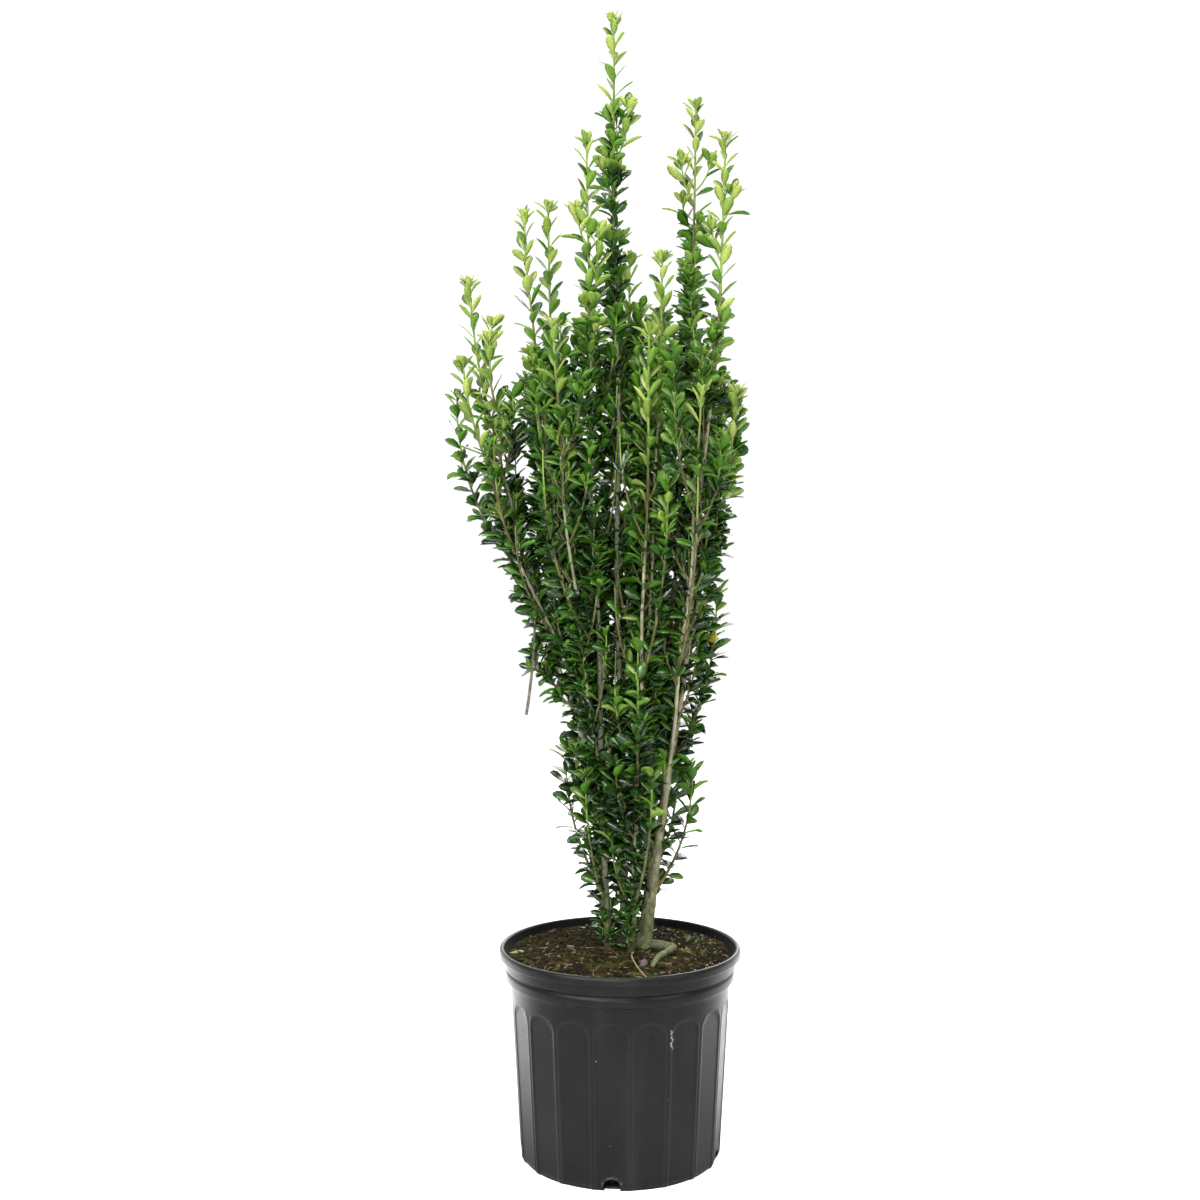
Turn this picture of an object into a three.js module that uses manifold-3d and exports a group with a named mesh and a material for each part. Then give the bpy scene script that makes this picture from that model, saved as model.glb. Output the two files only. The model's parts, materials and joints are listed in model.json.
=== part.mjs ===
// Upright Japanese holly in a black nursery pot. Millimetres, +Z up, with the front towards -Y.
// The origin is the centre of the pot's flat underside.
import * as THREE from "three";
import { mergeVertices } from "three/addons/utils/BufferGeometryUtils.js";
import Module from "manifold-3d";

const wasm = await Module();
wasm.setup();

// Clearance between pieces that touch on the real plant.
const GAP = 0.3;

// The pot is a number 3 nursery can: eleven inches across the rim and nine and a half high.
const POT = {
  height: 241,
  rimRadius: 140,
  lipHeight: 11,
  collarRadius: 134,
  collarLowZ: 217,
  beadRadius: 132.5,
  wallTopZ: 203,
  wallTopRadius: 127,
  footZ: 6,
  footRadius: 115.5,
  baseRadius: 112,
  wall: 2.6,
  roundSides: 36,
};
const PANEL = { count: 18, firstDeg: -5, share: 0.86, topZ: 186, archHeight: 16, edgeDepth: 0.5 };
const DRAIN = { panels: [0, 4, 9, 13], radius: 9.5, centreZ: 4, depth: 16, sides: 8 };
const SOIL = { edgeZ: 229, moundZ: 236, moundRadius: 80 };
const GROUND_Z = SOIL.moundZ + GAP;

// Stems rise from the soil, and boughs leave a parent at a share of its height.
// A tip is where the topmost leaves end, a radius is at the limb's foot, and wood is the bare share.
const STEMS = {
  stem_right: { foot: [28, 12], tip: [123, 0, 1186], radius: 7.2, wood: 0.64 },
  stem_left: { foot: [-13, 2], tip: [-38, -25, 1178], radius: 5.2, wood: 0.6 },
  stem_centre: { foot: [6, 30], tip: [-7, 20, 1330], radius: 5.8, wood: 0.66 },
  stem_front: { foot: [13, -14], tip: [32, -72, 955], radius: 4.4, wood: 0.6 },
  stem_back_right: { foot: [27, 42], tip: [92, 62, 1238], radius: 5.0, wood: 0.62 },
  stem_back_left: { foot: [-14, 32], tip: [-85, 50, 1115], radius: 5.0, wood: 0.6 },
};
const BOUGHS = {
  bough_inner_right: { parent: "stem_front", fork: 0.3, tip: [49, -18, 1044], radius: 3.0, wood: 0.55 },
  bough_front_right: { parent: "stem_right", fork: 0.2, tip: [88, -98, 885], radius: 3.2, wood: 0.55 },
  bough_low_right: { parent: "stem_right", fork: 0.36, tip: [134, -14, 892], radius: 2.8, wood: 0.5 },
  bough_front_left: { parent: "stem_left", fork: 0.2, tip: [-75, -86, 960], radius: 3.2, wood: 0.55 },
  bough_low_left: { parent: "stem_left", fork: 0.27, tip: [-181, -20, 922], radius: 3.2, wood: 0.55 },
  bough_far_left: { parent: "stem_back_left", fork: 0.26, tip: [-177, 24, 1020], radius: 3.4, wood: 0.58 },
  bough_mid_left: { parent: "stem_back_left", fork: 0.4, tip: [-111, 4, 1096], radius: 2.9, wood: 0.52 },
  bough_outer_left: { parent: "bough_far_left", fork: 0.45, tip: [-150, -38, 950], radius: 2.3, wood: 0.45 },
  bough_upper_centre: { parent: "stem_centre", fork: 0.48, tip: [13, 62, 1056], radius: 2.6, wood: 0.45 },
  bough_rear_middle: { parent: "stem_centre", fork: 0.22, tip: [28, 138, 1002], radius: 3.2, wood: 0.55 },
  bough_rear_left: { parent: "stem_back_left", fork: 0.2, tip: [-92, 128, 932], radius: 3.0, wood: 0.55 },
  bough_rear_right: { parent: "stem_back_right", fork: 0.22, tip: [118, 122, 982], radius: 3.2, wood: 0.55 },
};
const LIMB = { stemEase: 1.55, boughEase: 1.45, tipRadius: 1.3, taper: 0.8, sides: 6, stepLength: 95 };
const FLARE = { share: 0.75, height: 14, ringHeights: [9, 27] };
const ROOT = { foot: [34, 10], knee: [66, 2], end: [44, -58], radius: 4.6, sink: 3.2, steps: 7 };
const DEAD_TWIG = {
  limb: "bough_low_left",
  at: 0.36,
  elbow: [-97, -34, 576],
  end: [-107, -38, 513],
  radius: 1.7,
};

// Leafy side shoots leave the bare wood at these shares of a limb's height.
const SIDE_SHOOTS = {
  stem_right: [0.06, 0.22, 0.44],
  stem_left: [0.05, 0.19, 0.4],
  stem_centre: [0.08, 0.28, 0.5],
  stem_front: [0.07, 0.24, 0.44],
  stem_back_right: [0.06, 0.25, 0.45],
  stem_back_left: [0.07, 0.23, 0.48],
  bough_front_right: [0.3],
  bough_front_left: [0.35],
  bough_far_left: [0.35],
};
const SHOOT = { length: [190, 235], reach: 32, ease: 2.4, radius: 1.9, stepLength: 60, directions: 16 };
const LEAF = { width: 0.54, widest: 0.55, rib: 0.06, ribAt: 0.2, droop: -0.03 };
const CROWN_LEAVES = { length: [37, 48], spacing: 23, tilt: [0.72, 0.32], finish: "youngFoliage" };
const SIDE_LEAVES = { length: [54, 68], spacing: 24, tilt: [0.95, 0.45], finish: "foliage" };
const TOP_LEAF_RISE = 26;
const TWIG = { length: [40, 56], radius: 1.2, every: 4, leaves: 3, angle: 0.62 };
const ROOM = { wood: 1.2, neighbour: 0.8, tries: 9, tryTurn: 0.75, tryScale: 0.94 };
// How far the crown spreads from the pot's axis on each side.
const SPREAD = { left: 210, right: 149, front: 148, back: 158 };
// Low on the plant shoots and leaves are smaller, up to full size this far above the soil.
const LOW = { scale: 0.78, height: 300 };
const GOLDEN_ANGLE = Math.PI * (3 - Math.sqrt(5));
const SEED = 412;

const FINISH = {
  plastic: { color: 0x2c2d2e, roughness: 0.5, metalness: 0 },
  soil: { color: 0x3a2b1c, roughness: 1, metalness: 0 },
  bark: { color: 0x8f8668, roughness: 0.85, metalness: 0 },
  deadBark: { color: 0x6f655b, roughness: 0.9, metalness: 0 },
  foliage: { color: 0x35602a, roughness: 0.45, metalness: 0 },
  youngFoliage: { color: 0x7fae45, roughness: 0.45, metalness: 0 },
};

const radians = THREE.MathUtils.degToRad;
const { lerp, clamp } = THREE.MathUtils;
const vector = (x, y, z) => new THREE.Vector3(x, y, z);
const evenShares = (steps) => Array.from({ length: steps + 1 }, (_, i) => i / steps);

// A repeatable stream of numbers from 0 to 1.
function randomFrom(seed) {
  let state = seed >>> 0;
  return () => {
    state = (state + 0x6d2b79f5) >>> 0;
    let mixed = Math.imul(state ^ (state >>> 15), state | 1);
    mixed ^= mixed + Math.imul(mixed ^ (mixed >>> 7), mixed | 61);
    return ((mixed ^ (mixed >>> 14)) >>> 0) / 4294967296;
  };
}

// A closed geometry as a solid that can be joined and cut.
function solidOf(geometry) {
  const bare = new THREE.BufferGeometry();
  bare.setAttribute("position", geometry.getAttribute("position"));
  bare.setIndex(geometry.index);
  const merged = mergeVertices(bare, 1e-4);
  const corners = merged.index.array;
  const triangles = [];
  for (let i = 0; i < corners.length; i += 3) {
    const [a, b, c] = corners.slice(i, i + 3);
    if (a !== b && b !== c && c !== a) triangles.push(a, b, c);
  }
  const vertProperties = merged.attributes.position.array;
  const triVerts = Uint32Array.from(triangles);
  return new wasm.Manifold(new wasm.Mesh({ numProp: 3, vertProperties, triVerts }));
}

// A solid as a named piece in one finish.
function piece(name, solid, finish) {
  const made = solid.getMesh();
  const geometry = new THREE.BufferGeometry();
  geometry.setAttribute("position", new THREE.BufferAttribute(made.vertProperties, 3));
  geometry.setIndex(new THREE.BufferAttribute(made.triVerts, 1));
  geometry.computeVertexNormals();
  const mesh = new THREE.Mesh(geometry, new THREE.MeshStandardMaterial(FINISH[finish]));
  mesh.name = name;
  return mesh;
}

// A turned solid about Z from a profile of [radius, height] points that starts and ends on the axis.
function turned(profile, sides, firstDeg) {
  const points = profile.map(([radius, z]) => new THREE.Vector2(radius, z));
  const geometry = new THREE.LatheGeometry(points, sides, radians(firstDeg));
  return solidOf(geometry.rotateX(Math.PI / 2));
}

// The outer wall's radius at a height below the collar.
function wallRadius(z) {
  return lerp(POT.footRadius, POT.wallTopRadius, (z - POT.footZ) / (POT.wallTopZ - POT.footZ));
}

// One flat side panel with an arched top, as the block that is cut out of the round wall.
function panelCutter(turnDeg) {
  const half = radians((180 / PANEL.count) * PANEL.share);
  const slope = Math.atan2(POT.wallTopRadius - POT.footRadius, POT.wallTopZ - POT.footZ);
  const radial = vector(Math.sin(radians(turnDeg)), -Math.cos(radians(turnDeg)), 0);
  const tangent = vector(-radial.y, radial.x, 0);
  const up = radial.clone().multiplyScalar(Math.sin(slope)).setZ(Math.cos(slope));
  const outward = tangent.clone().cross(up);
  const drop = PANEL.topZ / Math.cos(slope) + POT.wall;
  const topHalf = wallRadius(PANEL.topZ) * Math.sin(half);
  const footHalf = wallRadius(0) * Math.sin(half);
  const outline = new THREE.Shape();
  outline.moveTo(-footHalf, -drop);
  outline.lineTo(footHalf, -drop);
  outline.absellipse(0, -PANEL.archHeight, topHalf, PANEL.archHeight, 0, Math.PI);
  const depth = POT.rimRadius - POT.wallTopRadius;
  const block = new THREE.ExtrudeGeometry(outline, { depth, bevelEnabled: false, curveSegments: 4 });
  const distance = wallRadius(PANEL.topZ) * Math.cos(half) - PANEL.edgeDepth;
  const place = radial.clone().multiplyScalar(distance).setZ(PANEL.topZ);
  block.applyMatrix4(new THREE.Matrix4().makeBasis(tangent, up, outward).setPosition(place));
  return solidOf(block);
}

// One round drain hole through the corner of wall and base.
function drainCutter(turnDeg) {
  const bore = new THREE.CylinderGeometry(DRAIN.radius, DRAIN.radius, 2 * DRAIN.depth, DRAIN.sides);
  bore.translate(0, -POT.footRadius, 0).rotateZ(radians(turnDeg)).translate(0, 0, DRAIN.centreZ);
  return solidOf(bore);
}

// The soil's radius under the rim, and the ledge inside the bead where it widens to that.
const SOIL_TOP_RADIUS = POT.beadRadius - POT.wall - 1.5;
const LEDGE_Z = POT.wallTopZ + 2;

// The moulded pot: rolled lip, collar, bead, flat arched panels and drain holes.
function potSolid() {
  const lipZ = POT.height - POT.lipHeight;
  const outside = [
    [0, 0],
    [POT.baseRadius, 0],
    [POT.footRadius, POT.footZ],
    [POT.wallTopRadius, POT.wallTopZ],
    [POT.beadRadius - 1, LEDGE_Z],
    [POT.beadRadius, POT.collarLowZ - 3],
    [POT.beadRadius - 1.5, POT.collarLowZ],
    [POT.collarRadius - 0.8, POT.collarLowZ + 2],
    [POT.collarRadius, lipZ],
    [POT.rimRadius, lipZ + 2],
    [POT.rimRadius, POT.height - 4],
    [POT.rimRadius - 2.5, POT.height],
    [0, POT.height],
  ];
  const innerFoot = POT.footRadius - POT.wall;
  const innerTop = POT.wallTopRadius - POT.wall;
  const lowerInside = [
    [0, POT.wall],
    [innerFoot - 2, POT.wall],
    [innerFoot, POT.footZ + POT.wall],
    [innerTop, POT.wallTopZ + POT.wall],
    [0, POT.wallTopZ + POT.wall],
  ];
  const upperInside = [
    [0, LEDGE_Z],
    [SOIL_TOP_RADIUS + GAP, LEDGE_Z],
    [SOIL_TOP_RADIUS + GAP, lipZ],
    [POT.rimRadius - 6, POT.height - 1],
    [POT.rimRadius - 5, POT.height + 1],
    [0, POT.height + 1],
  ];
  const pitch = 360 / PANEL.count;
  let pot = turned(outside, POT.roundSides, PANEL.firstDeg)
    .subtract(turned(lowerInside, PANEL.count, PANEL.firstDeg + pitch / 2))
    .subtract(turned(upperInside, POT.roundSides, PANEL.firstDeg));
  for (let i = 0; i < PANEL.count; i += 1) {
    pot = pot.subtract(panelCutter(PANEL.firstDeg + i * pitch));
  }
  for (const i of DRAIN.panels) {
    pot = pot.subtract(drainCutter(PANEL.firstDeg + i * pitch));
  }
  return pot;
}

// The potting mix: a root ball in the pot's own shape with a low mound on top.
function soilSolid() {
  const flat = Math.cos(Math.PI / PANEL.count);
  const foot = (POT.footRadius - POT.wall) * flat - GAP;
  const top = (POT.wallTopRadius - POT.wall) * flat - GAP;
  const profile = [
    [0, POT.wall + GAP],
    [foot - 2.5, POT.wall + GAP],
    [foot, POT.footZ + POT.wall + GAP],
    [top, LEDGE_Z + GAP],
    [SOIL_TOP_RADIUS, LEDGE_Z + GAP],
    [SOIL_TOP_RADIUS, SOIL.edgeZ],
    [SOIL.moundRadius, SOIL.moundZ],
    [0, SOIL.moundZ],
  ];
  return turned(profile, POT.roundSides, PANEL.firstDeg);
}

// A path that rises evenly from foot to tip and leans out early, so that it ends upright.
class LeaningPath extends THREE.Curve {
  constructor(foot, tip, ease) {
    super();
    Object.assign(this, { foot, tip, ease });
  }

  getPoint(share, target = new THREE.Vector3()) {
    const { foot, tip, ease } = this;
    const lean = 1 - Math.pow(1 - Math.min(share, 1), ease);
    return target.set(lerp(foot.x, tip.x, lean), lerp(foot.y, tip.y, lean), lerp(foot.z, tip.z, share));
  }

  // The stretch from one share to another as straight steps.
  steps(from, to, count) {
    return new SteppedPath(evenShares(count).map((share) => this.getPoint(lerp(from, to, share))));
  }
}

// A path of straight steps between points, so that what is set on it lies on its tube's own axis.
class SteppedPath extends THREE.Curve {
  constructor(points) {
    super();
    this.points = points;
  }

  getPoint(share, target = new THREE.Vector3()) {
    const place = clamp(share, 0, 1) * (this.points.length - 1);
    const step = Math.min(Math.floor(place), this.points.length - 2);
    return target.lerpVectors(this.points[step], this.points[step + 1], place - step);
  }

  length() {
    return this.points.slice(1).reduce((sum, point, i) => sum + point.distanceTo(this.points[i]), 0);
  }

  distanceTo(point) {
    const edge = new THREE.Line3();
    const nearest = new THREE.Vector3();
    let least = Infinity;
    for (let i = 1; i < this.points.length; i += 1) {
      edge.set(this.points[i - 1], this.points[i]).closestPointToPoint(point, true, nearest);
      least = Math.min(least, nearest.distanceTo(point));
    }
    return least;
  }
}

// Two directions square to a path, kept level with a fixed axis so that a tube doesn't twist.
function acrossFrame(tangent) {
  const guide = Math.abs(tangent.y) > 0.8 ? vector(1, 0, 0) : vector(0, 1, 0);
  const first = guide.cross(tangent).normalize();
  return [first, tangent.clone().cross(first)];
}

// The direction at an angle round a path.
function spokeAt(tangent, angle) {
  const [first, second] = acrossFrame(tangent);
  return first.multiplyScalar(Math.cos(angle)).addScaledVector(second, Math.sin(angle));
}

// A tapering tube along a path, closed at both ends. A level foot is cut flat instead of square.
function tube(path, radiusAt, { sides, shares, levelFoot = false }) {
  const positions = [];
  const index = [];
  shares.forEach((share, ring) => {
    const centre = path.getPoint(share);
    const tangent = path.getTangent(share);
    for (let side = 0; side < sides; side += 1) {
      const spoke = spokeAt(tangent, (2 * Math.PI * side) / sides);
      if (levelFoot && ring === 0) spoke.addScaledVector(tangent, -spoke.z / tangent.z);
      positions.push(...spoke.multiplyScalar(radiusAt(share)).add(centre).toArray());
    }
  });
  const last = (shares.length - 1) * sides;
  for (let side = 0; side < sides; side += 1) {
    const next = (side + 1) % sides;
    for (let ring = 0; ring < last; ring += sides) {
      index.push(ring + side, ring + next, ring + sides + next);
      index.push(ring + side, ring + sides + next, ring + sides + side);
    }
    if (side > 0 && next > 0) {
      index.push(0, next, side);
      index.push(last, last + side, last + next);
    }
  }
  const geometry = new THREE.BufferGeometry();
  geometry.setAttribute("position", new THREE.Float32BufferAttribute(positions, 3));
  geometry.setIndex(index);
  return solidOf(geometry);
}

// A stem or bough: bare wood to a share of its height, then a leafy shoot to its tip.
class Limb {
  constructor(name, foot, { tip, radius, wood }, parent = null) {
    const ease = parent ? LIMB.boughEase : LIMB.stemEase;
    this.path = new LeaningPath(foot, vector(...tip), ease);
    this.rise = tip[2] - foot.z;
    Object.assign(this, { name, radius, wood, parent });
  }

  radiusAt(share) {
    const flare = this.parent ? 0 : FLARE.share * Math.exp((-share * this.rise) / FLARE.height);
    return lerp(this.radius, LIMB.tipRadius, Math.pow(share, LIMB.taper)) + flare * this.radius;
  }

  // The shares of the bare wood at which its tube has rings.
  woodShares() {
    const steps = Math.max(4, Math.round((this.rise * this.wood) / LIMB.stepLength));
    const shares = evenShares(steps).map((share) => share * this.wood);
    const flare = this.parent ? [] : FLARE.ringHeights.map((height) => height / this.rise);
    return shares.concat(flare).sort((a, b) => a - b);
  }

  // The bare wood, with its radius grown by a margin.
  woodSolid(margin = 0) {
    return tube(this.path, (share) => this.radiusAt(share) + margin, {
      sides: LIMB.sides,
      shares: this.woodShares(),
      levelFoot: !this.parent,
    });
  }

  // Short straight lengths of bare wood with their radius, for keeping leaves clear.
  woodSteps() {
    const shares = this.woodShares();
    return shares.slice(1).map((share, i) => ({
      line: new SteppedPath([this.path.getPoint(shares[i]), this.path.getPoint(share)]),
      radius: this.radiusAt(shares[i]),
    }));
  }
}

// All limbs by name, stems first, so that each bough starts on its parent's path.
function makeLimbs() {
  const limbs = {};
  for (const [name, spec] of Object.entries(STEMS)) {
    limbs[name] = new Limb(name, vector(...spec.foot, GROUND_Z), spec);
  }
  for (const [name, spec] of Object.entries(BOUGHS)) {
    const parent = limbs[spec.parent];
    limbs[name] = new Limb(name, parent.path.getPoint(spec.fork), spec, parent);
  }
  return limbs;
}

// The surface root that leaves the right stem's foot, turns back and dives into the soil.
function rootSolid() {
  const level = ([x, y], dip) => vector(x, y, GROUND_Z + 0.4 * ROOT.radius - dip);
  const path = new THREE.CatmullRomCurve3([
    level(ROOT.foot, 0),
    level(ROOT.knee, 0),
    level(ROOT.end, ROOT.sink),
  ]);
  const radiusAt = (share) => ROOT.radius * lerp(1, 0.55, share);
  const root = tube(path, radiusAt, { sides: LIMB.sides, shares: evenShares(ROOT.steps) });
  const depth = 4 * ROOT.radius;
  const ground = new THREE.BoxGeometry(2 * POT.rimRadius, 2 * POT.rimRadius, depth);
  return root.subtract(solidOf(ground.translate(0, 0, GROUND_Z - depth / 2)));
}

// A snapped, leafless twig that hangs from a bough.
function deadTwigSolid(limb) {
  const start = limb.path.getPoint(DEAD_TWIG.at);
  const path = new THREE.QuadraticBezierCurve3(start, vector(...DEAD_TWIG.elbow), vector(...DEAD_TWIG.end));
  const radiusAt = (share) => DEAD_TWIG.radius * lerp(0.8, 1, share);
  const twig = tube(path, radiusAt, { sides: LIMB.sides, shares: evenShares(6) });
  return twig.subtract(limb.woodSolid(GAP));
}

// How small shoots and leaves are at a height.
function sizeAt(z) {
  return lerp(LOW.scale, 1, clamp((z - GROUND_Z) / LOW.height, 0, 1));
}

// The shoot that goes on along a limb's own path from the end of its bare wood.
function topShoot(limb) {
  const from = limb.wood + GAP / limb.rise;
  const to = 1 - TOP_LEAF_RISE / limb.rise;
  const count = Math.max(3, Math.round(((to - from) * limb.rise) / SHOOT.stepLength));
  return {
    name: limb.name.replace(/^(stem|bough)/, "crown"),
    line: limb.path.steps(from, to, count),
    radius: Math.min(SHOOT.radius, limb.radiusAt(from)),
    firstLeaf: 0.02,
    carrier: null,
    leaves: CROWN_LEAVES,
  };
}

// A shoot that leaves bare wood, leans to the side with the most room and grows upright.
function sideShoot(limb, at, number, taken, random) {
  const foot = limb.path.getPoint(at);
  const scale = sizeAt(foot.z);
  const length = lerp(...SHOOT.length, random()) * scale;
  const reach = SHOOT.reach * scale;
  const count = Math.max(3, Math.round(length / SHOOT.stepLength));
  const above = limb.path.getPoint(Math.min(1, at + length / limb.rise)).setZ(foot.z + length);
  const firstTurn = random();
  let best = { room: -1 };
  for (let i = 0; i < SHOOT.directions; i += 1) {
    const turn = (2 * Math.PI * (i + firstTurn)) / SHOOT.directions;
    const tip = above.clone().add(vector(reach * Math.cos(turn), reach * Math.sin(turn), 0));
    const line = new LeaningPath(foot, tip, SHOOT.ease).steps(0, 1, count);
    const distances = line.points.slice(1).flatMap((point) => taken.map((other) => other.distanceTo(point)));
    const room = Math.min(...distances);
    if (room > best.room) best = { line, room };
  }
  return {
    name: `${limb.name.replace(/^(stem|bough)/, "side")}_${number}`,
    line: best.line,
    radius: SHOOT.radius,
    firstLeaf: (2 * limb.radiusAt(at)) / length,
    carrier: limb,
    leaves: SIDE_LEAVES,
  };
}

// Every mass of foliage as a shoot with its own line, before any leaf is placed.
function makeShoots(limbs) {
  const random = randomFrom(SEED);
  const shoots = Object.values(limbs).map(topShoot);
  const taken = Object.values(limbs).map((limb) => limb.path.steps(0, 1, 12));
  for (const [name, shares] of Object.entries(SIDE_SHOOTS)) {
    shares.forEach((at, i) => {
      const shoot = sideShoot(limbs[name], at, i + 1, taken, random);
      taken.push(shoot.line);
      shoots.push(shoot);
    });
  }
  return shoots;
}

// A leaf as a folded kite of six faces: root, two edges, tip, and a raised rib near the stalk.
const LEAF_FACES = [0, 2, 4, 2, 3, 4, 3, 1, 4, 1, 0, 4, 0, 1, 2, 3, 2, 1];

function leafPoints(root, along, side, length) {
  const up = along.clone().cross(side);
  const at = (a, s, u) =>
    root
      .clone()
      .addScaledVector(along, a * length)
      .addScaledVector(side, s * length)
      .addScaledVector(up, u * length);
  const edge = LEAF.width / 2;
  return [
    at(0, 0, 0),
    at(LEAF.widest, edge, 0),
    at(LEAF.widest, -edge, 0),
    at(1, 0, LEAF.droop),
    at(LEAF.ribAt, 0, LEAF.rib),
  ];
}

// Points spread over a leaf, for testing that it keeps to its own space.
function leafGrid([root, left, right, tip]) {
  const middle = left.clone().lerp(right, 0.5);
  const halves = [
    [root, middle],
    [tip, middle],
  ];
  return halves.flatMap(([end, widest]) =>
    [0.2, 0.4, 0.6, 0.8, 1].flatMap((share) =>
      [left, right, middle, left.clone().lerp(middle, 0.5), right.clone().lerp(middle, 0.5)].map((edge) =>
        end.clone().lerp(widest, share).addScaledVector(edge.clone().sub(middle), share),
      ),
    ),
  );
}

// One mass of foliage: a three-sided stem with twigs and leaves set round it by the golden angle.
class FoliageMass {
  constructor(shoot, shoots, woods, random) {
    const others = shoots.filter((other) => other !== shoot).map((other) => other.line);
    Object.assign(this, { shoot, others, woods, random });
    const { line, radius, carrier } = shoot;
    const radiusAt = (share) => lerp(radius, LIMB.tipRadius, share);
    const stem = tube(line, radiusAt, { sides: 3, shares: evenShares(line.points.length - 1) });
    this.solid = carrier ? stem.subtract(carrier.woodSolid(GAP)) : stem;
  }

  // Whether points are inside the crown, nearest to this mass's own stem and clear of all wood.
  isFree(points) {
    return points.every((point) => {
      if (point.x < -SPREAD.left || point.x > SPREAD.right) return false;
      if (point.y < -SPREAD.front || point.y > SPREAD.back) return false;
      const own = this.shoot.line.distanceTo(point);
      const isClear = this.woods.every((wood) => wood.line.distanceTo(point) > wood.radius + ROOM.wood);
      return isClear && this.others.every((line) => line.distanceTo(point) > own + ROOM.neighbour);
    });
  }

  // Sets a leaf on an axis, turned on and shrunk a little until it fits, or leaves it out.
  addLeaf(root, axis, firstTurn, tilt, length) {
    for (let i = 0; i < ROOM.tries; i += 1) {
      const spoke = spokeAt(axis, firstTurn + i * ROOM.tryTurn);
      const along = spoke.clone().multiplyScalar(Math.sin(tilt)).addScaledVector(axis, Math.cos(tilt));
      const side = axis.clone().cross(spoke).normalize();
      const points = leafPoints(root, along, side, length * Math.pow(ROOM.tryScale, i));
      if (this.isFree(leafGrid(points))) {
        const geometry = new THREE.BufferGeometry().setFromPoints(points).setIndex(LEAF_FACES);
        this.solid = this.solid.add(solidOf(geometry));
        return;
      }
    }
  }

  // Sets a straight twig with a few leaves on the stem where there is room for it.
  addTwig(root, axis, firstTurn, leafLength) {
    const reach = lerp(...TWIG.length, this.random()) * sizeAt(root.z);
    for (let i = 0; i < ROOM.tries; i += 1) {
      const turn = firstTurn + i * ROOM.tryTurn;
      const spoke = spokeAt(axis, turn);
      const out = spoke.multiplyScalar(Math.sin(TWIG.angle)).addScaledVector(axis, Math.cos(TWIG.angle));
      const end = root.clone().addScaledVector(out, reach * Math.pow(ROOM.tryScale, i));
      const line = new SteppedPath([root, end]);
      if (this.isFree([0.3, 0.5, 0.7, 0.9, 1].map((share) => line.getPoint(share)))) {
        this.solid = this.solid.add(tube(line, () => TWIG.radius, { sides: 3, shares: [0, 1] }));
        for (let leaf = 1; leaf <= TWIG.leaves; leaf += 1) {
          const place = line.getPoint(lerp(0.35, 0.96, leaf / TWIG.leaves));
          this.addLeaf(place, out, turn + leaf * GOLDEN_ANGLE, 0.7, leafLength);
        }
        return;
      }
    }
  }

  // Leaves all along the stem, with a twig in place of some, and smaller and steeper to the tip.
  grow() {
    const { line, firstLeaf, leaves } = this.shoot;
    const count = Math.round(line.length() / leaves.spacing);
    let turn = 2 * Math.PI * this.random();
    for (let i = 1; i <= count; i += 1) {
      const share = lerp(firstLeaf, 0.985, i / count);
      const root = line.getPoint(share);
      const axis = line.getTangent(share);
      const length = lerp(...leaves.length, this.random()) * lerp(1.05, 0.74, share) * sizeAt(root.z);
      const tilt = lerp(...leaves.tilt, Math.pow(share, 3));
      turn += GOLDEN_ANGLE;
      if (i % TWIG.every === 2 && share < 0.75) {
        this.addTwig(root, axis, turn, 0.85 * length);
      } else {
        this.addLeaf(root, axis, turn, tilt, length);
      }
    }
    return this.solid;
  }
}

function makeHolly() {
  const holly = new THREE.Group();
  holly.add(piece("pot", potSolid(), "plastic"), piece("soil", soilSolid(), "soil"));
  const limbs = makeLimbs();
  for (const limb of Object.values(limbs)) {
    let wood = limb.woodSolid();
    if (limb.parent) wood = wood.subtract(limb.parent.woodSolid(GAP));
    if (limb === limbs.stem_right) wood = wood.add(rootSolid());
    holly.add(piece(limb.name, wood, "bark"));
  }
  holly.add(piece("dead_twig", deadTwigSolid(limbs[DEAD_TWIG.limb]), "deadBark"));
  const woods = Object.values(limbs).flatMap((limb) => limb.woodSteps());
  const shoots = makeShoots(limbs);
  shoots.forEach((shoot, i) => {
    const mass = new FoliageMass(shoot, shoots, woods, randomFrom(SEED + i));
    holly.add(piece(shoot.name, mass.grow(), shoot.leaves.finish));
  });
  return holly;
}

export default makeHolly();
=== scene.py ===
"""Looks of an upright Japanese holly in a black nursery pot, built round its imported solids.

Sizes are millimetres until a mesh is finished in metres. +Z is up and the front is towards -Y.
"""

import json
import logging
import math
from collections.abc import Iterator, Sequence
from dataclasses import dataclass, field, replace
from enum import Enum
from functools import reduce

import bmesh
import bpy
import numpy as np
from mathutils import Matrix, Vector, noise

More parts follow.
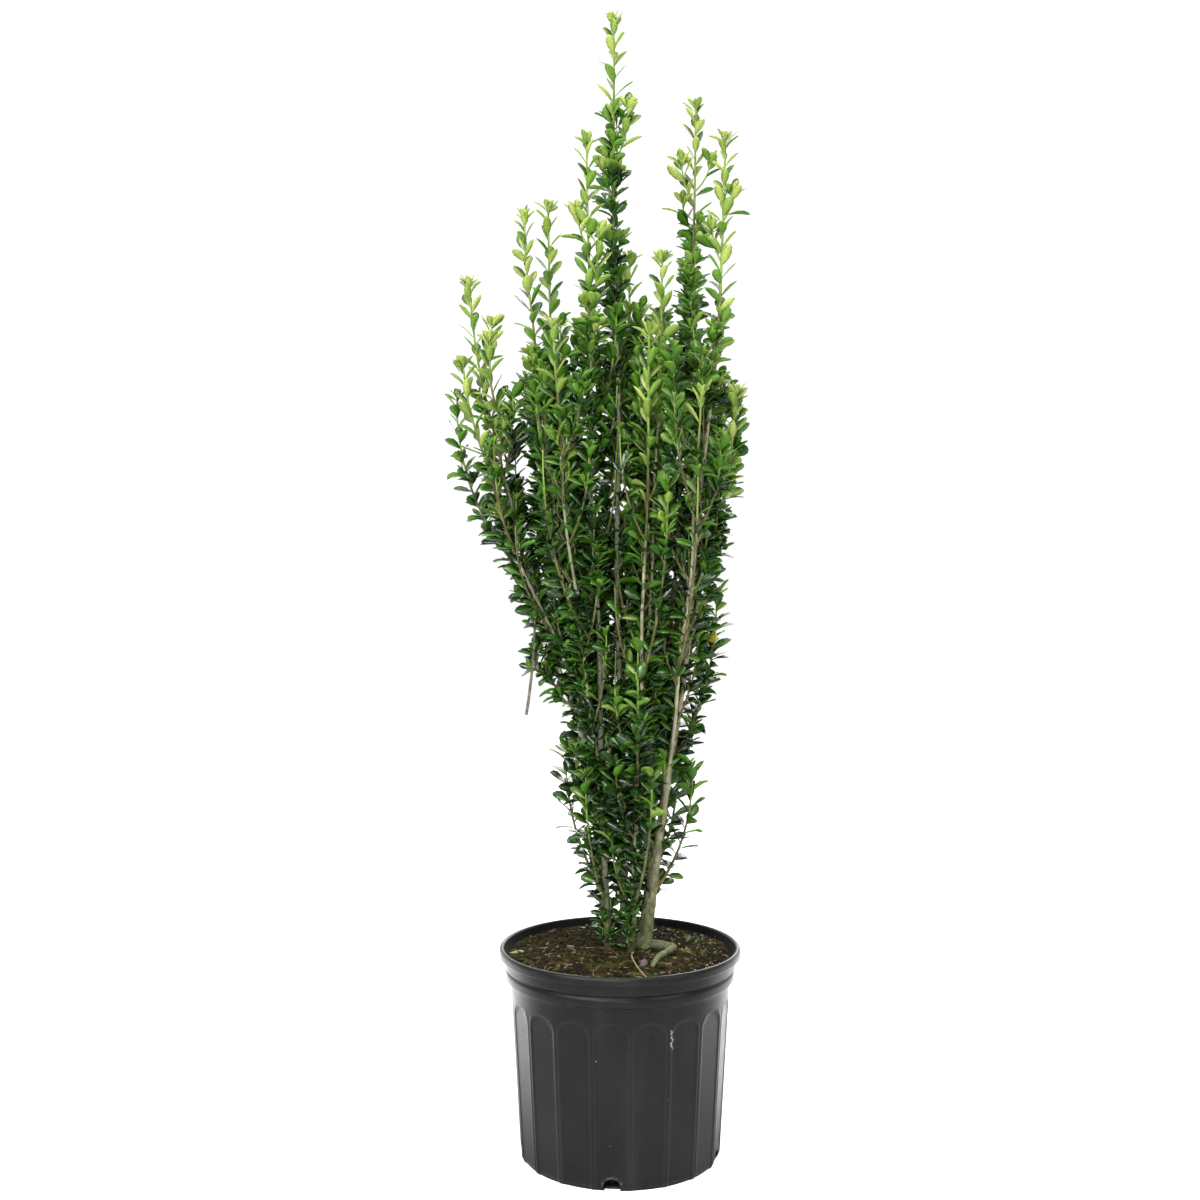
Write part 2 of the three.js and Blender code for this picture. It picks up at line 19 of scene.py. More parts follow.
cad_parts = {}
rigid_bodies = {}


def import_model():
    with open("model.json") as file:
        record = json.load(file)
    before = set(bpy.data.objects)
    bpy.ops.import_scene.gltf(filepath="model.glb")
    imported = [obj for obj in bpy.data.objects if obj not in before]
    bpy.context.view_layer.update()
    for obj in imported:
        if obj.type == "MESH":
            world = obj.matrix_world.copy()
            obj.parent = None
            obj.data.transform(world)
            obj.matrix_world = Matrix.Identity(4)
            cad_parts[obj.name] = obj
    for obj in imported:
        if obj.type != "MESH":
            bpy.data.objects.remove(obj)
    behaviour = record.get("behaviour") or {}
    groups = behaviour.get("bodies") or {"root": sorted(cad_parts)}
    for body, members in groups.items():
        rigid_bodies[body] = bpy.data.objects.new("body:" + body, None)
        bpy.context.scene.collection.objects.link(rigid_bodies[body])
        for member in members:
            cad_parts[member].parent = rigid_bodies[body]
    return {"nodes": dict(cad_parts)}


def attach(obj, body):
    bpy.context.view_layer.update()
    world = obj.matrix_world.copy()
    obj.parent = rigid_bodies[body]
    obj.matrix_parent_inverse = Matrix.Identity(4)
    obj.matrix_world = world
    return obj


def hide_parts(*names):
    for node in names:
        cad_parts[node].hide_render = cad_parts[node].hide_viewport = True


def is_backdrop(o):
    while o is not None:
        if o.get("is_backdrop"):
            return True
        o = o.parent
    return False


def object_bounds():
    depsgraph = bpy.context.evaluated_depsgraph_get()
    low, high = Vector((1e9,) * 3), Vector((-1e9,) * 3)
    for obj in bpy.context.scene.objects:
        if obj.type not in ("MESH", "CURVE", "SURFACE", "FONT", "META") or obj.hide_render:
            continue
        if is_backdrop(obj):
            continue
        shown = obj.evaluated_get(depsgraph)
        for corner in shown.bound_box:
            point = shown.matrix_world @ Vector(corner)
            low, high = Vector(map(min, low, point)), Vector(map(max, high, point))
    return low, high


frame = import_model()
CAD_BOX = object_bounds()

LOG = logging.getLogger("holly")
MM = 0.001
TAU = 2 * math.pi
GOLDEN_ANGLE = math.pi * (3 - math.sqrt(5))
SEED = 412
GROUND_Z = 236.3
UP = Vector((0, 0, 1))

Triple = tuple[float, float, float]
Colour = Triple
Span = tuple[float, float]
Tree = bpy.types.NodeTree
Socket = bpy.types.NodeSocket
Sockets = Sequence[Socket]
Material = bpy.types.Material
Mesh = bpy.types.Mesh
Piece = bpy.types.Object
Draft = bmesh.types.BMesh
Corner = bmesh.types.BMVert


def lerp(first: float, last: float, share: float) -> float:
    """The number at a share of the way from first to last."""
    return first + (last - first) * share


def clamp(value: float, low: float = 0.0, high: float = 1.0) -> float:
    """The value kept between two limits."""
    return max(low, min(high, value))


def smoothstep(low: float, high: float, value: float) -> float:
    """A soft step from 0 at low to 1 at high."""
    share = clamp((value - low) / (high - low))
    return share * share * (3 - 2 * share)


def bump(distance: float, width: float) -> float:
    """A soft hill, 1 at no distance and near 0 past twice the width."""
    return math.exp(-((distance / width) ** 2))


class Dice:
    """A repeatable stream of numbers from 0 to 1, the same one that places the solids' shoots."""

    WORD = 0xFFFFFFFF
    STEP = 0x6D2B79F5

    def __init__(self, seed: int) -> None:
        """Starts the stream at a seed."""
        self.state = seed & self.WORD

    def number(self) -> float:
        """Draws the next number.

        Returns:
            The number, from 0 to 1.
        """
        self.state = (self.state + self.STEP) & self.WORD
        mixed = ((self.state ^ (self.state >> 15)) * (self.state | 1)) & self.WORD
        mixed ^= (mixed + ((mixed ^ (mixed >> 7)) * (mixed | 61))) & self.WORD
        return ((mixed ^ (mixed >> 14)) & self.WORD) / (self.WORD + 1)

    def between(self, low: float, high: float) -> float:
        """The next number between two limits."""
        return lerp(low, high, self.number())

    def pick(self, chances: dict) -> object:
        """Draws one choice.

        Args:
            chances: The chance of each choice, which add up to 1.

        Returns:
            The choice.
        """
        rest = self.number()
        for choice, chance in chances.items():
            rest -= chance
            if rest < 0:
                break
        return choice


# Node trees


class Nodes:
    """Short calls that add shader nodes and links to one node tree."""

    def __init__(self, tree: Tree) -> None:
        """Takes the tree that the nodes go into."""
        self.tree = tree

    def feed(self, socket: Socket, value: object) -> None:
        """Links a socket to another, or sets its plain value.

        Args:
            socket: The input.
            value: An output or a plain value.
        """
        if isinstance(value, Socket):
            self.tree.links.new(value, socket)
        elif isinstance(value, tuple) and socket.type == "RGBA":
            socket.default_value = (*value, 1.0)
        else:
            socket.default_value = value

    def add(self, kind: str, inputs: dict | None = None, **settings: object) -> Sockets:
        """Adds a shader node.

        Args:
            kind: Its type, without the usual prefix.
            inputs: What its inputs are fed, by name or number.
            settings: Its own settings by name.

        Returns:
            The node's outputs.
        """
        node = self.tree.nodes.new(f"ShaderNode{kind}")
        for name, value in settings.items():
            setattr(node, name, value)
        for key, value in (inputs or {}).items():
            self.feed(node.inputs[key], value)
        return node.outputs

    def math(self, operation: str, first: object, second: object = 0.0, clamped: bool = True) -> Socket:
        """A sum, product or other step between two values."""
        return self.add("Math", {0: first, 1: second}, operation=operation, use_clamp=clamped)[0]

    def times(self, first: object, second: object) -> Socket:
        """The product of two masks."""
        return self.math("MULTIPLY", first, second)

    def mix(self, share: object, first: object, second: object) -> Socket:
        """A colour between two colours."""
        return self.add("Mix", {0: share, 6: first, 7: second}, data_type="RGBA")[2]

    def layers(self, colour: object, *coats: tuple[object, object]) -> Socket:
        """A colour with other colours laid over it in turn, each by its mask."""
        return reduce(lambda under, coat: self.mix(coat[0], under, coat[1]), coats, colour)

    def band(self, value: object, low: float, high: float) -> Socket:
        """A soft mask that is 0 where a value is at low and 1 where it is at high."""
        return self.add("MapRange", {0: value, 1: low, 2: high}, interpolation_type="SMOOTHSTEP")[0]

    def split(self, vector: object) -> Sockets:
        """The three parts of a vector."""
        return self.add("SeparateXYZ", {0: vector})

    def coordinates(self, scale: Triple = (1.0, 1.0, 1.0), source: object = None) -> Socket:
        """Object coordinates, or another source, stretched by a scale."""
        source = source or self.add("TexCoord")["Object"]
        return self.add("Mapping", {"Vector": source, "Scale": scale})[0]

    def attribute(self, name: str, output: str = "Vector") -> Socket:
        """A named attribute of the mesh."""
        return self.add("Attribute", attribute_name=name)[output]

    def noise(self, vector: object, scale: object, detail: float = 4.0) -> Socket:
        """Soft noise from 0 to 1."""
        return self.add("TexNoise", {"Vector": vector, "Scale": scale, "Detail": detail})[0]

    def lift(self, height: object, strength: object, distance: float, **settings: object) -> Socket:
        """A normal that follows a height."""
        return self.add("Bump", {"Height": height, "Strength": strength, "Distance": distance}, **settings)[0]

    def effect(self, tree: Tree, **inputs: object) -> Sockets:
        """Places a shared effect and feeds its inputs by name."""
        return self.add("Group", inputs, node_tree=tree)


class Effects:
    """Shader effects that several finishes share, each made once."""

    def __init__(self) -> None:
        """Makes every shared effect."""
        self.make_tone()
        self.make_relief()
        self.make_specks()
        self.make_veins()

    @staticmethod
    def start(name: str, inputs: dict, outputs: dict) -> tuple[Nodes, Sockets, Sockets]:
        """Opens a new group with named sockets.

        Args:
            name: The group's name.
            inputs: Socket kinds by input name.
            outputs: Socket kinds by output name.

        Returns:
            The group's nodes, what it is given and what it puts out.
        """
        tree = bpy.data.node_groups.new(name, "ShaderNodeTree")
        for direction, sockets in (("INPUT", inputs), ("OUTPUT", outputs)):
            for label, kind in sockets.items():
                tree.interface.new_socket(label, in_out=direction, socket_type=f"NodeSocket{kind}")
        given, out = (tree.nodes.new(f"NodeGroup{end}") for end in ("Input", "Output"))
        return Nodes(tree), given.outputs, out.inputs

    def make_tone(self) -> None:
        """Makes patches a little lighter and darker than a colour."""
        inputs = {"Colour": "Color", "Vector": "Vector", "Scale": "Float", "Amount": "Float"}
        nodes, given, out = self.start("tone patches", inputs, {"Colour": "Color"})
        patches = nodes.band(nodes.noise(given["Vector"], given["Scale"], 2.0), 0.28, 0.72)
        centred = nodes.math("SUBTRACT", patches, 0.5, clamped=False)
        change = nodes.math("MULTIPLY", centred, given["Amount"], clamped=False)
        level = nodes.math("ADD", change, 1.0, clamped=False)
        shaded = nodes.add("HueSaturation", {"Color": given["Colour"], "Value": level})
        nodes.feed(out["Colour"], shaded["Color"])
        self.tone = nodes.tree

    def make_relief(self) -> None:
        """Makes a fine rough surface as a normal."""
        inputs = {"Vector": "Vector", "Scale": "Float", "Height": "Float"}
        nodes, given, out = self.start("fine relief", inputs, {"Normal": "Vector"})
        grain = nodes.noise(given["Vector"], given["Scale"], 6.0)
        nodes.feed(out["Normal"], nodes.lift(grain, given["Height"], MM))
        self.relief = nodes.tree

    def make_specks(self) -> None:
        """Makes a mask of small scattered specks of dust or grit."""
        inputs = {"Vector": "Vector", "Scale": "Float", "Share": "Float"}
        nodes, given, out = self.start("dust specks", inputs, {"Mask": "Float"})
        cells = nodes.add("TexVoronoi", {"Vector": given["Vector"], "Scale": given["Scale"]})
        chance = nodes.add("SeparateColor", {0: cells["Color"]})[0]
        chosen = nodes.math("LESS_THAN", chance, given["Share"])
        nodes.feed(out["Mask"], nodes.times(chosen, nodes.band(cells["Distance"], 0.3, 0.12)))
        self.specks = nodes.tree

    def make_veins(self) -> None:
        """Makes a leaf's midrib and slanting side veins, from its own map."""
        nodes, given, out = self.start("leaf veins", {"Map": "Vector"}, {"Rib": "Float", "Veins": "Float"})
        across, along, _ = nodes.split(given["Map"])
        away = nodes.math("ABSOLUTE", nodes.math("SUBTRACT", across, 0.5, clamped=False))
        nodes.feed(out["Rib"], nodes.band(away, 0.085, 0.03))
        slope = nodes.math("SUBTRACT", along, nodes.times(away, 0.6), clamped=False)
        turns = nodes.math("MULTIPLY", slope, 44.0, clamped=False)
        nodes.feed(out["Veins"], nodes.band(nodes.math("SINE", turns, clamped=False), 0.75, 1.0))
        self.veins = nodes.tree


EFFECTS = Effects()


class Coat:
    """A new material with one Principled shader, and calls that dress it."""

    def __init__(self, name: str, roughness: float, specular: float) -> None:
        """Makes the material with its plain values set on the shader.

        Args:
            name: The material's name.
            roughness: How rough it is.
            specular: How strongly it mirrors.
        """
        self.material = bpy.data.materials.new(name)
        self.material.use_nodes = True
        self.nodes = Nodes(self.material.node_tree)
        self.shader = self.material.node_tree.nodes["Principled BSDF"]
        self.set("Roughness", roughness)
        self.set("Specular IOR Level", specular)

    def set(self, socket: str, value: object) -> None:
        """Feeds one of the shader's sockets."""
        self.nodes.feed(self.shader.inputs[socket], value)

    def patchy(self, colour: object, vector: object, scale: float, amount: float) -> Socket:
        """A colour with lighter and darker patches."""
        return self.nodes.effect(EFFECTS.tone, Colour=colour, Vector=vector, Scale=scale, Amount=amount)[0]

    def rough(self, vector: object, scale: float, height: float) -> None:
        """Gives the surface a fine relief."""
        self.set("Normal", self.nodes.effect(EFFECTS.relief, Vector=vector, Scale=scale, Height=height)[0])

    def specks(self, vector: object, scale: float, share: float) -> Socket:
        """A mask of scattered specks."""
        return self.nodes.effect(EFFECTS.specks, Vector=vector, Scale=scale, Share=share)[0]


# Finishes


@dataclass(frozen=True)
class GrainFinish:
    """A plain natural surface with patches of tone and a fine relief."""

    name: str
    colour: Colour
    patch_scale: float
    patch_amount: float
    roughness: float
    relief: float
    relief_scale: float
    specular: float = 0.35

    def material(self) -> Material:
        """Makes the material.

        Returns:
            The material.
        """
        coat = Coat(self.name, self.roughness, self.specular)
        place = coat.nodes.coordinates()
        coat.set("Base Color", coat.patchy(self.colour, place, self.patch_scale, self.patch_amount))
        coat.rough(place, self.relief_scale, self.relief)
        return coat.material


@dataclass(frozen=True)
class PotPlastic:
    """Dark moulded plastic with dust, pale worn ribs, grit, one pale drip and a near-black painted shade on
    the inner wall.
    """

    colour: Colour = (0.0135, 0.0139, 0.0134)
    worn: Colour = (0.040, 0.041, 0.042)
    dust: Colour = (0.085, 0.080, 0.072)
    ring: Colour = (0.115, 0.108, 0.076)
    # Near-black painted shade for the inner wall above the soil.
    inside: Colour = (0.003, 0.003, 0.003)
    grit: Colour = (0.36, 0.31, 0.25)
    drip: Colour = (0.42, 0.36, 0.27)
    drip_x: float = 0.0516
    drip_wander: float = -0.008
    drip_z: Span = (0.153, 0.178)
    roughness: Span = (0.22, 0.38)
    inside_roughness: float = 0.9

    def material(self) -> Material:
        """Makes the material.

        Returns:
            The material.
        """
        coat = Coat("pot plastic", 0.3, 0.2)
        nodes = coat.nodes
        place = nodes.coordinates()
        streaks = nodes.noise(nodes.coordinates((34.0, 34.0, 3.0)), 1.0, 5.0)
        rib = nodes.attribute("rib", "Fac")
        # The inner wall, where the rib value is negative, is painted near black as painted shade and made
        # rougher.
        inner = nodes.band(rib, -0.2, -0.9)
        colour = nodes.layers(
            coat.patchy(self.colour, place, 14.0, 0.35),
            (nodes.times(nodes.band(streaks, 0.45, 0.8), 0.14), self.dust),
            (nodes.times(rib, 0.3), self.worn),
            (nodes.band(rib, 1.0, 2.0), self.ring),
            # Painted shade: the inner wall turned near black.
            (inner, self.inside),
            (coat.specks(place, 330.0, 0.003), self.grit),
            (self.drip_mask(nodes), self.drip),
        )
        coat.set("Base Color", colour)
        smoothest, roughest = self.roughness
        shine = nodes.add("MapRange", {0: nodes.noise(place, 55.0), 3: smoothest, 4: roughest})[0]
        coat.set("Roughness", nodes.math("MAXIMUM", shine, nodes.times(inner, self.inside_roughness)))
        coat.rough(place, 1400.0, 0.22)
        return coat.material

    def drip_mask(self, nodes: Nodes) -> Socket:
        """The mask of one dried drip on the front of the wall.

        Args:
            nodes: The material's nodes.

        Returns:
            A mask that is 1 on the drip.
        """
        x, y, z = nodes.split(nodes.coordinates())
        wander = nodes.noise(nodes.coordinates((0.0, 0.0, 190.0)), 1.0, 2.0)
        swayed = nodes.add("Math", {0: wander, 1: self.drip_wander, 2: x}, operation="MULTIPLY_ADD")[0]
        away = nodes.math("SUBTRACT", swayed, self.drip_x, clamped=False)
        low, high = self.drip_z
        masks = (
            nodes.band(nodes.math("ABSOLUTE", away), 0.0014, 0.0005),
            nodes.band(z, low, low + 0.004),
            nodes.band(z, high, high - 0.003),
            nodes.band(y, -0.05, -0.06),
            nodes.band(nodes.noise(nodes.coordinates(), 260.0), 0.42, 0.55),
        )
        return reduce(nodes.times, masks)


@dataclass(frozen=True)
class PottingMix:
    """Moist bark and peat, with green and rusty moss in patches and darker peat patches of painted shade."""

    peat: Colour = (0.007, 0.005, 0.003)
    crumb: Colour = (0.062, 0.043, 0.020)
    moss: Colour = (0.066, 0.066, 0.014)
    rust: Colour = (0.090, 0.048, 0.014)

    def material(self) -> Material:
        """Makes the material.

        Returns:
            The material.
        """
        coat = Coat("potting mix", 0.95, 0.08)
        nodes = coat.nodes
        place, skewed = nodes.coordinates(), nodes.coordinates((1.0, 1.3, 1.0))
        crumbs = nodes.band(nodes.noise(place, 300.0, 6.0), 0.50, 0.70)
        green = nodes.band(nodes.noise(place, 26.0, 5.0), 0.46, 0.6)
        rusty = nodes.band(nodes.noise(skewed, 41.0), 0.56, 0.68)
        # Random darker peat patches stand in for the shadows between clods: painted shade.
        painted_shade_patches = nodes.band(nodes.noise(place, 19.0, 3.0), 0.48, 0.62)
        colour = nodes.layers(
            self.peat,
            (crumbs, self.crumb),
            (nodes.times(green, 0.8), coat.patchy(self.moss, place, 420.0, 1.2)),
            (nodes.times(rusty, 0.7), coat.patchy(self.rust, place, 380.0, 1.2)),
            (nodes.times(painted_shade_patches, 0.8), self.peat),
        )
        coat.set("Base Color", colour)
        coat.rough(place, 700.0, 1.0)
        return coat.material


@dataclass(frozen=True)
class Bark:
    """Thin tan to grey bark that is mossy at the foot and green on new growth, with a paler colour painted on
    a cane in the crown's shade as painted light.
    """

    moss: Colour = (0.120, 0.140, 0.048)
    damp: Colour = (0.165, 0.185, 0.072)
    grey: Colour = (0.490, 0.500, 0.365)
    tan: Colour = (0.570, 0.545, 0.335)
    # Painted light: a paler bark for a cane that stands in the crown's shade.
    pale: Colour = (0.690, 0.690, 0.560)
    brown: Colour = (0.155, 0.122, 0.056)
    earth: Colour = (0.060, 0.050, 0.028)
    green: Colour = (0.300, 0.430, 0.075)
    fleck: Colour = (0.50, 0.46, 0.38)
    crack: Colour = (0.085, 0.065, 0.040)

    def material(self) -> Material:
        """Makes the material from each limb's own straightened coordinates.

        Returns:
            The material.
        """
        coat = Coat("bark", 0.72, 0.35)
        nodes = coat.nodes
        straight = nodes.attribute("straight")
        age, tint, damp = nodes.split(nodes.attribute("growth"))
        grain = nodes.noise(nodes.coordinates((1.0, 1.0, 0.10), straight), 900.0, 6.0)
        flecks = coat.specks(nodes.coordinates((1.0, 1.0, 0.6), straight), 520.0, 0.22)
        wood = nodes.layers(
            self.grey,
            # A negative tan paints a cane's bark paler, as painted light where the crown shades it.
            (nodes.band(tint, 0.0, -1.0), self.pale),
            (tint, self.tan),
            (nodes.times(nodes.band(grain, 0.52, 0.70), 0.55), self.crack),
            (nodes.times(flecks, 0.7), self.fleck),
        )
        young = nodes.mix(nodes.band(age, 0.62, 0.95), self.brown, self.green)
        moss = nodes.times(damp, nodes.band(nodes.noise(straight, 170.0), 0.40, 0.62))
        colour = nodes.layers(
            coat.patchy(wood, nodes.coordinates(source=straight), 60.0, 0.6),
            (nodes.band(age, 0.20, 0.50), coat.patchy(young, straight, 140.0, 0.4)),
            (nodes.times(damp, 0.85), self.damp),
            (moss, coat.patchy(self.moss, straight, 600.0, 1.0)),
            (nodes.band(age, 0.0, -1.0), self.earth),
        )
        coat.set("Base Color", colour)
        coat.set("Normal", nodes.lift(grain, 0.6, MM))
        return coat.material


@dataclass(frozen=True)
class LeafFinish:
    """One tint of glossy leaf, with a paler midrib and a dull underside."""

    name: str
    blade: Colour
    rib: Colour
    roughness: float
    tone: float

    def start(
        self, label: str, roughness: float, specular: float, blade: Colour
    ) -> tuple[Coat, Socket, Socket, Socket]:
        """Starts one side of the leaf.

        Args:
            label: What follows the tint in the material's name.
            roughness: How rough the side is.
            specular: How strongly it mirrors.
            blade: Its colour.

        Returns:
            The coat, the masks of midrib and side veins and the blade's patchy colour.
        """
        coat = Coat(f"leaf {self.name}{label}", roughness, specular)
        rib, veins = coat.nodes.effect(EFFECTS.veins, Map=coat.nodes.add("TexCoord")["UV"])
        return coat, rib, veins, coat.patchy(blade, coat.nodes.coordinates(), 28.0, self.tone)

    def upper(self) -> Material:
        """Makes the glossy upper side.

        Returns:
            The material.
        """
        coat, rib, veins, blade = self.start("", self.roughness, 0.75, self.blade)
        nodes = coat.nodes
        ribs = ((nodes.times(veins, 0.10), self.rib), (nodes.times(rib, 0.75), self.rib))
        coat.set("Base Color", nodes.layers(blade, *ribs))
        coat.set("Normal", nodes.lift(veins, 0.12, 0.3 * MM, invert=True))
        return coat.material

    def under(self) -> Material:
        """Makes the paler, duller underside.

        Returns:
            The material.
        """
        pale = tuple(1.3 * part + extra for part, extra in zip(self.blade, (0.008, 0.016, 0.002)))
        coat, rib, _, blade = self.start(" underside", 0.6, 0.25, pale)
        coat.set("Base Color", coat.nodes.mix(coat.nodes.times(rib, 0.6), blade, self.rib))
        return coat.material


class Tint(Enum):
    """The tints that leaves are dealt by spray, from new tips to old shaded leaves."""

    LIME = LeafFinish("lime", (0.358, 0.455, 0.100), (0.46, 0.57, 0.16), 0.42, 0.22)
    YOUNG = LeafFinish("young", (0.210, 0.325, 0.052), (0.32, 0.45, 0.11), 0.40, 0.28)
    FRESH = LeafFinish("fresh", (0.122, 0.255, 0.028), (0.20, 0.32, 0.07), 0.38, 0.35)
    MID = LeafFinish("mid", (0.050, 0.152, 0.007), (0.11, 0.20, 0.04), 0.26, 0.45)
    DEEP = LeafFinish("deep", (0.019, 0.080, 0.004), (0.07, 0.13, 0.03), 0.25, 0.55)
    DARK = LeafFinish("dark", (0.007, 0.032, 0.003), (0.04, 0.08, 0.03), 0.24, 0.55)
    YELLOW = LeafFinish("yellow", (0.560, 0.480, 0.040), (0.62, 0.54, 0.12), 0.45, 0.35)


class TwigKind(Enum):
    """Twigs of this season and of earlier ones."""

    GREEN = GrainFinish("green twig", (0.270, 0.390, 0.070), 90.0, 0.5, 0.5, 0.3, 700.0)
    BROWN = GrainFinish("brown twig", (0.180, 0.172, 0.068), 90.0, 0.7, 0.75, 0.5, 700.0)


# Meshes


def finished(name: str, mesh: Mesh, *materials: Material) -> Piece:
    """Puts a mesh into the scene at the origin.

    Args:
        name: The piece's name.
        mesh: Its mesh, in metres.
        materials: Its materials, in slot order.

    Returns:
        The new object.
    """
    for material in materials:
        mesh.materials.append(material)
    piece = bpy.data.objects.new(name, mesh)
    bpy.context.scene.collection.objects.link(piece)
    return piece


def settle(piece: Piece, slot: str, *nodes: str) -> None:
    """Rides a piece on the part, hides the solids that it stands for and logs its triangles.

    Args:
        piece: The finished object.
        slot: The record's material slot; not used.
        nodes: The solids that it replaces.
    """
    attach(piece, "root")
    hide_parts(*nodes)
    triangles = sum(len(face.vertices) - 2 for face in piece.data.polygons)
    LOG.info("%s: %d triangles", piece.name, triangles)


def grid_points(bm: Draft, columns: int, rows: int) -> Iterator[tuple[Corner, int, int]]:
    """Adds a grid and hands out its points, which are then moved.

    Args:
        bm: The mesh that the grid is added to.
        columns: Steps across.
        rows: Steps along.

    Yields:
        Each vertex with its column and row.
    """
    made = bmesh.ops.create_grid(bm, x_segments=columns, y_segments=rows, size=1.0)
    for vertex in made["verts"]:
        x, y, _ = vertex.co
        yield vertex, round((x + 1) / 2 * columns), round((y + 1) / 2 * rows)


def closed_mesh(bm: Draft, name: str, sharp_deg: float = 60.0) -> Mesh:
    """Welds a mesh made in millimetres, turns its faces outwards and scales it to metres.

    Args:
        bm: The mesh in millimetres, which is freed.
        name: The new mesh's name.
        sharp_deg: Edges sharper than this are shaded as edges.

    Returns:
        The finished mesh.
    """
    bmesh.ops.remove_doubles(bm, verts=bm.verts, dist=0.01)
    bmesh.ops.holes_fill(bm, edges=bm.edges, sides=64)
    bmesh.ops.recalc_face_normals(bm, faces=bm.faces)
    bmesh.ops.scale(bm, vec=(MM, MM, MM), verts=bm.verts)
    mesh = bpy.data.meshes.new(name)
    bm.to_mesh(mesh)
    bm.free()
    mesh.shade_smooth()
    mesh.set_sharp_from_angle(angle=math.radians(sharp_deg))
    return mesh


@dataclass
class JoinedShapes:
    """Many small shapes gathered as arrays and joined into one mesh."""

    points: list = field(default_factory=list)
    faces: list = field(default_factory=list)
    maps: list = field(default_factory=list)
    slots: list = field(default_factory=list)
    count: int = 0

    def add(self, points: np.ndarray, faces: np.ndarray, maps: np.ndarray, slots: np.ndarray) -> None:
        """Adds copies of a shape.

        Args:
            points: Millimetres, one row of points for each copy.
            faces: Triangles of one copy.
            maps: The two map numbers of each point of one copy.
            slots: The material slot of each triangle of one copy.
        """
        copies, size = points.shape[:2]
        offsets = self.count + size * np.arange(copies)
        self.points.append(points.reshape(-1, 3))
        self.faces.append((faces[None] + offsets[:, None, None]).reshape(-1, 3))
        self.maps.append(np.tile(maps, (copies, 1)))
        self.slots.append(np.tile(slots, copies))
        self.count += copies * size

    def mesh(self, name: str, smooth: bool = True) -> Mesh:
        """Joins what was added into one mesh in metres.

        Args:
            name: The mesh's name.
            smooth: Whether its faces are shaded smooth.

        Returns:
            The joined mesh.
        """
        faces = np.concatenate(self.faces).astype(np.int32)
        mesh = bpy.data.meshes.new(name)
        mesh.vertices.add(self.count)
        mesh.vertices.foreach_set("co", (np.concatenate(self.points) * MM).astype(np.float32).ravel())
        mesh.loops.add(faces.size)
        mesh.loops.foreach_set("vertex_index", faces.ravel())
        mesh.polygons.add(len(faces))
        mesh.polygons.foreach_set("loop_start", np.arange(0, faces.size, 3, dtype=np.int32))
        mesh.polygons.foreach_set("material_index", np.concatenate(self.slots).astype(np.int32))
        uv = mesh.uv_layers.new(name="blade")
        uv.data.foreach_set("uv", np.concatenate(self.maps)[faces.ravel()].astype(np.float32).ravel())
        mesh.update(calc_edges=True)
        mesh.validate()
        if smooth:
            mesh.shade_smooth()
        else:
            mesh.shade_flat()
        return mesh


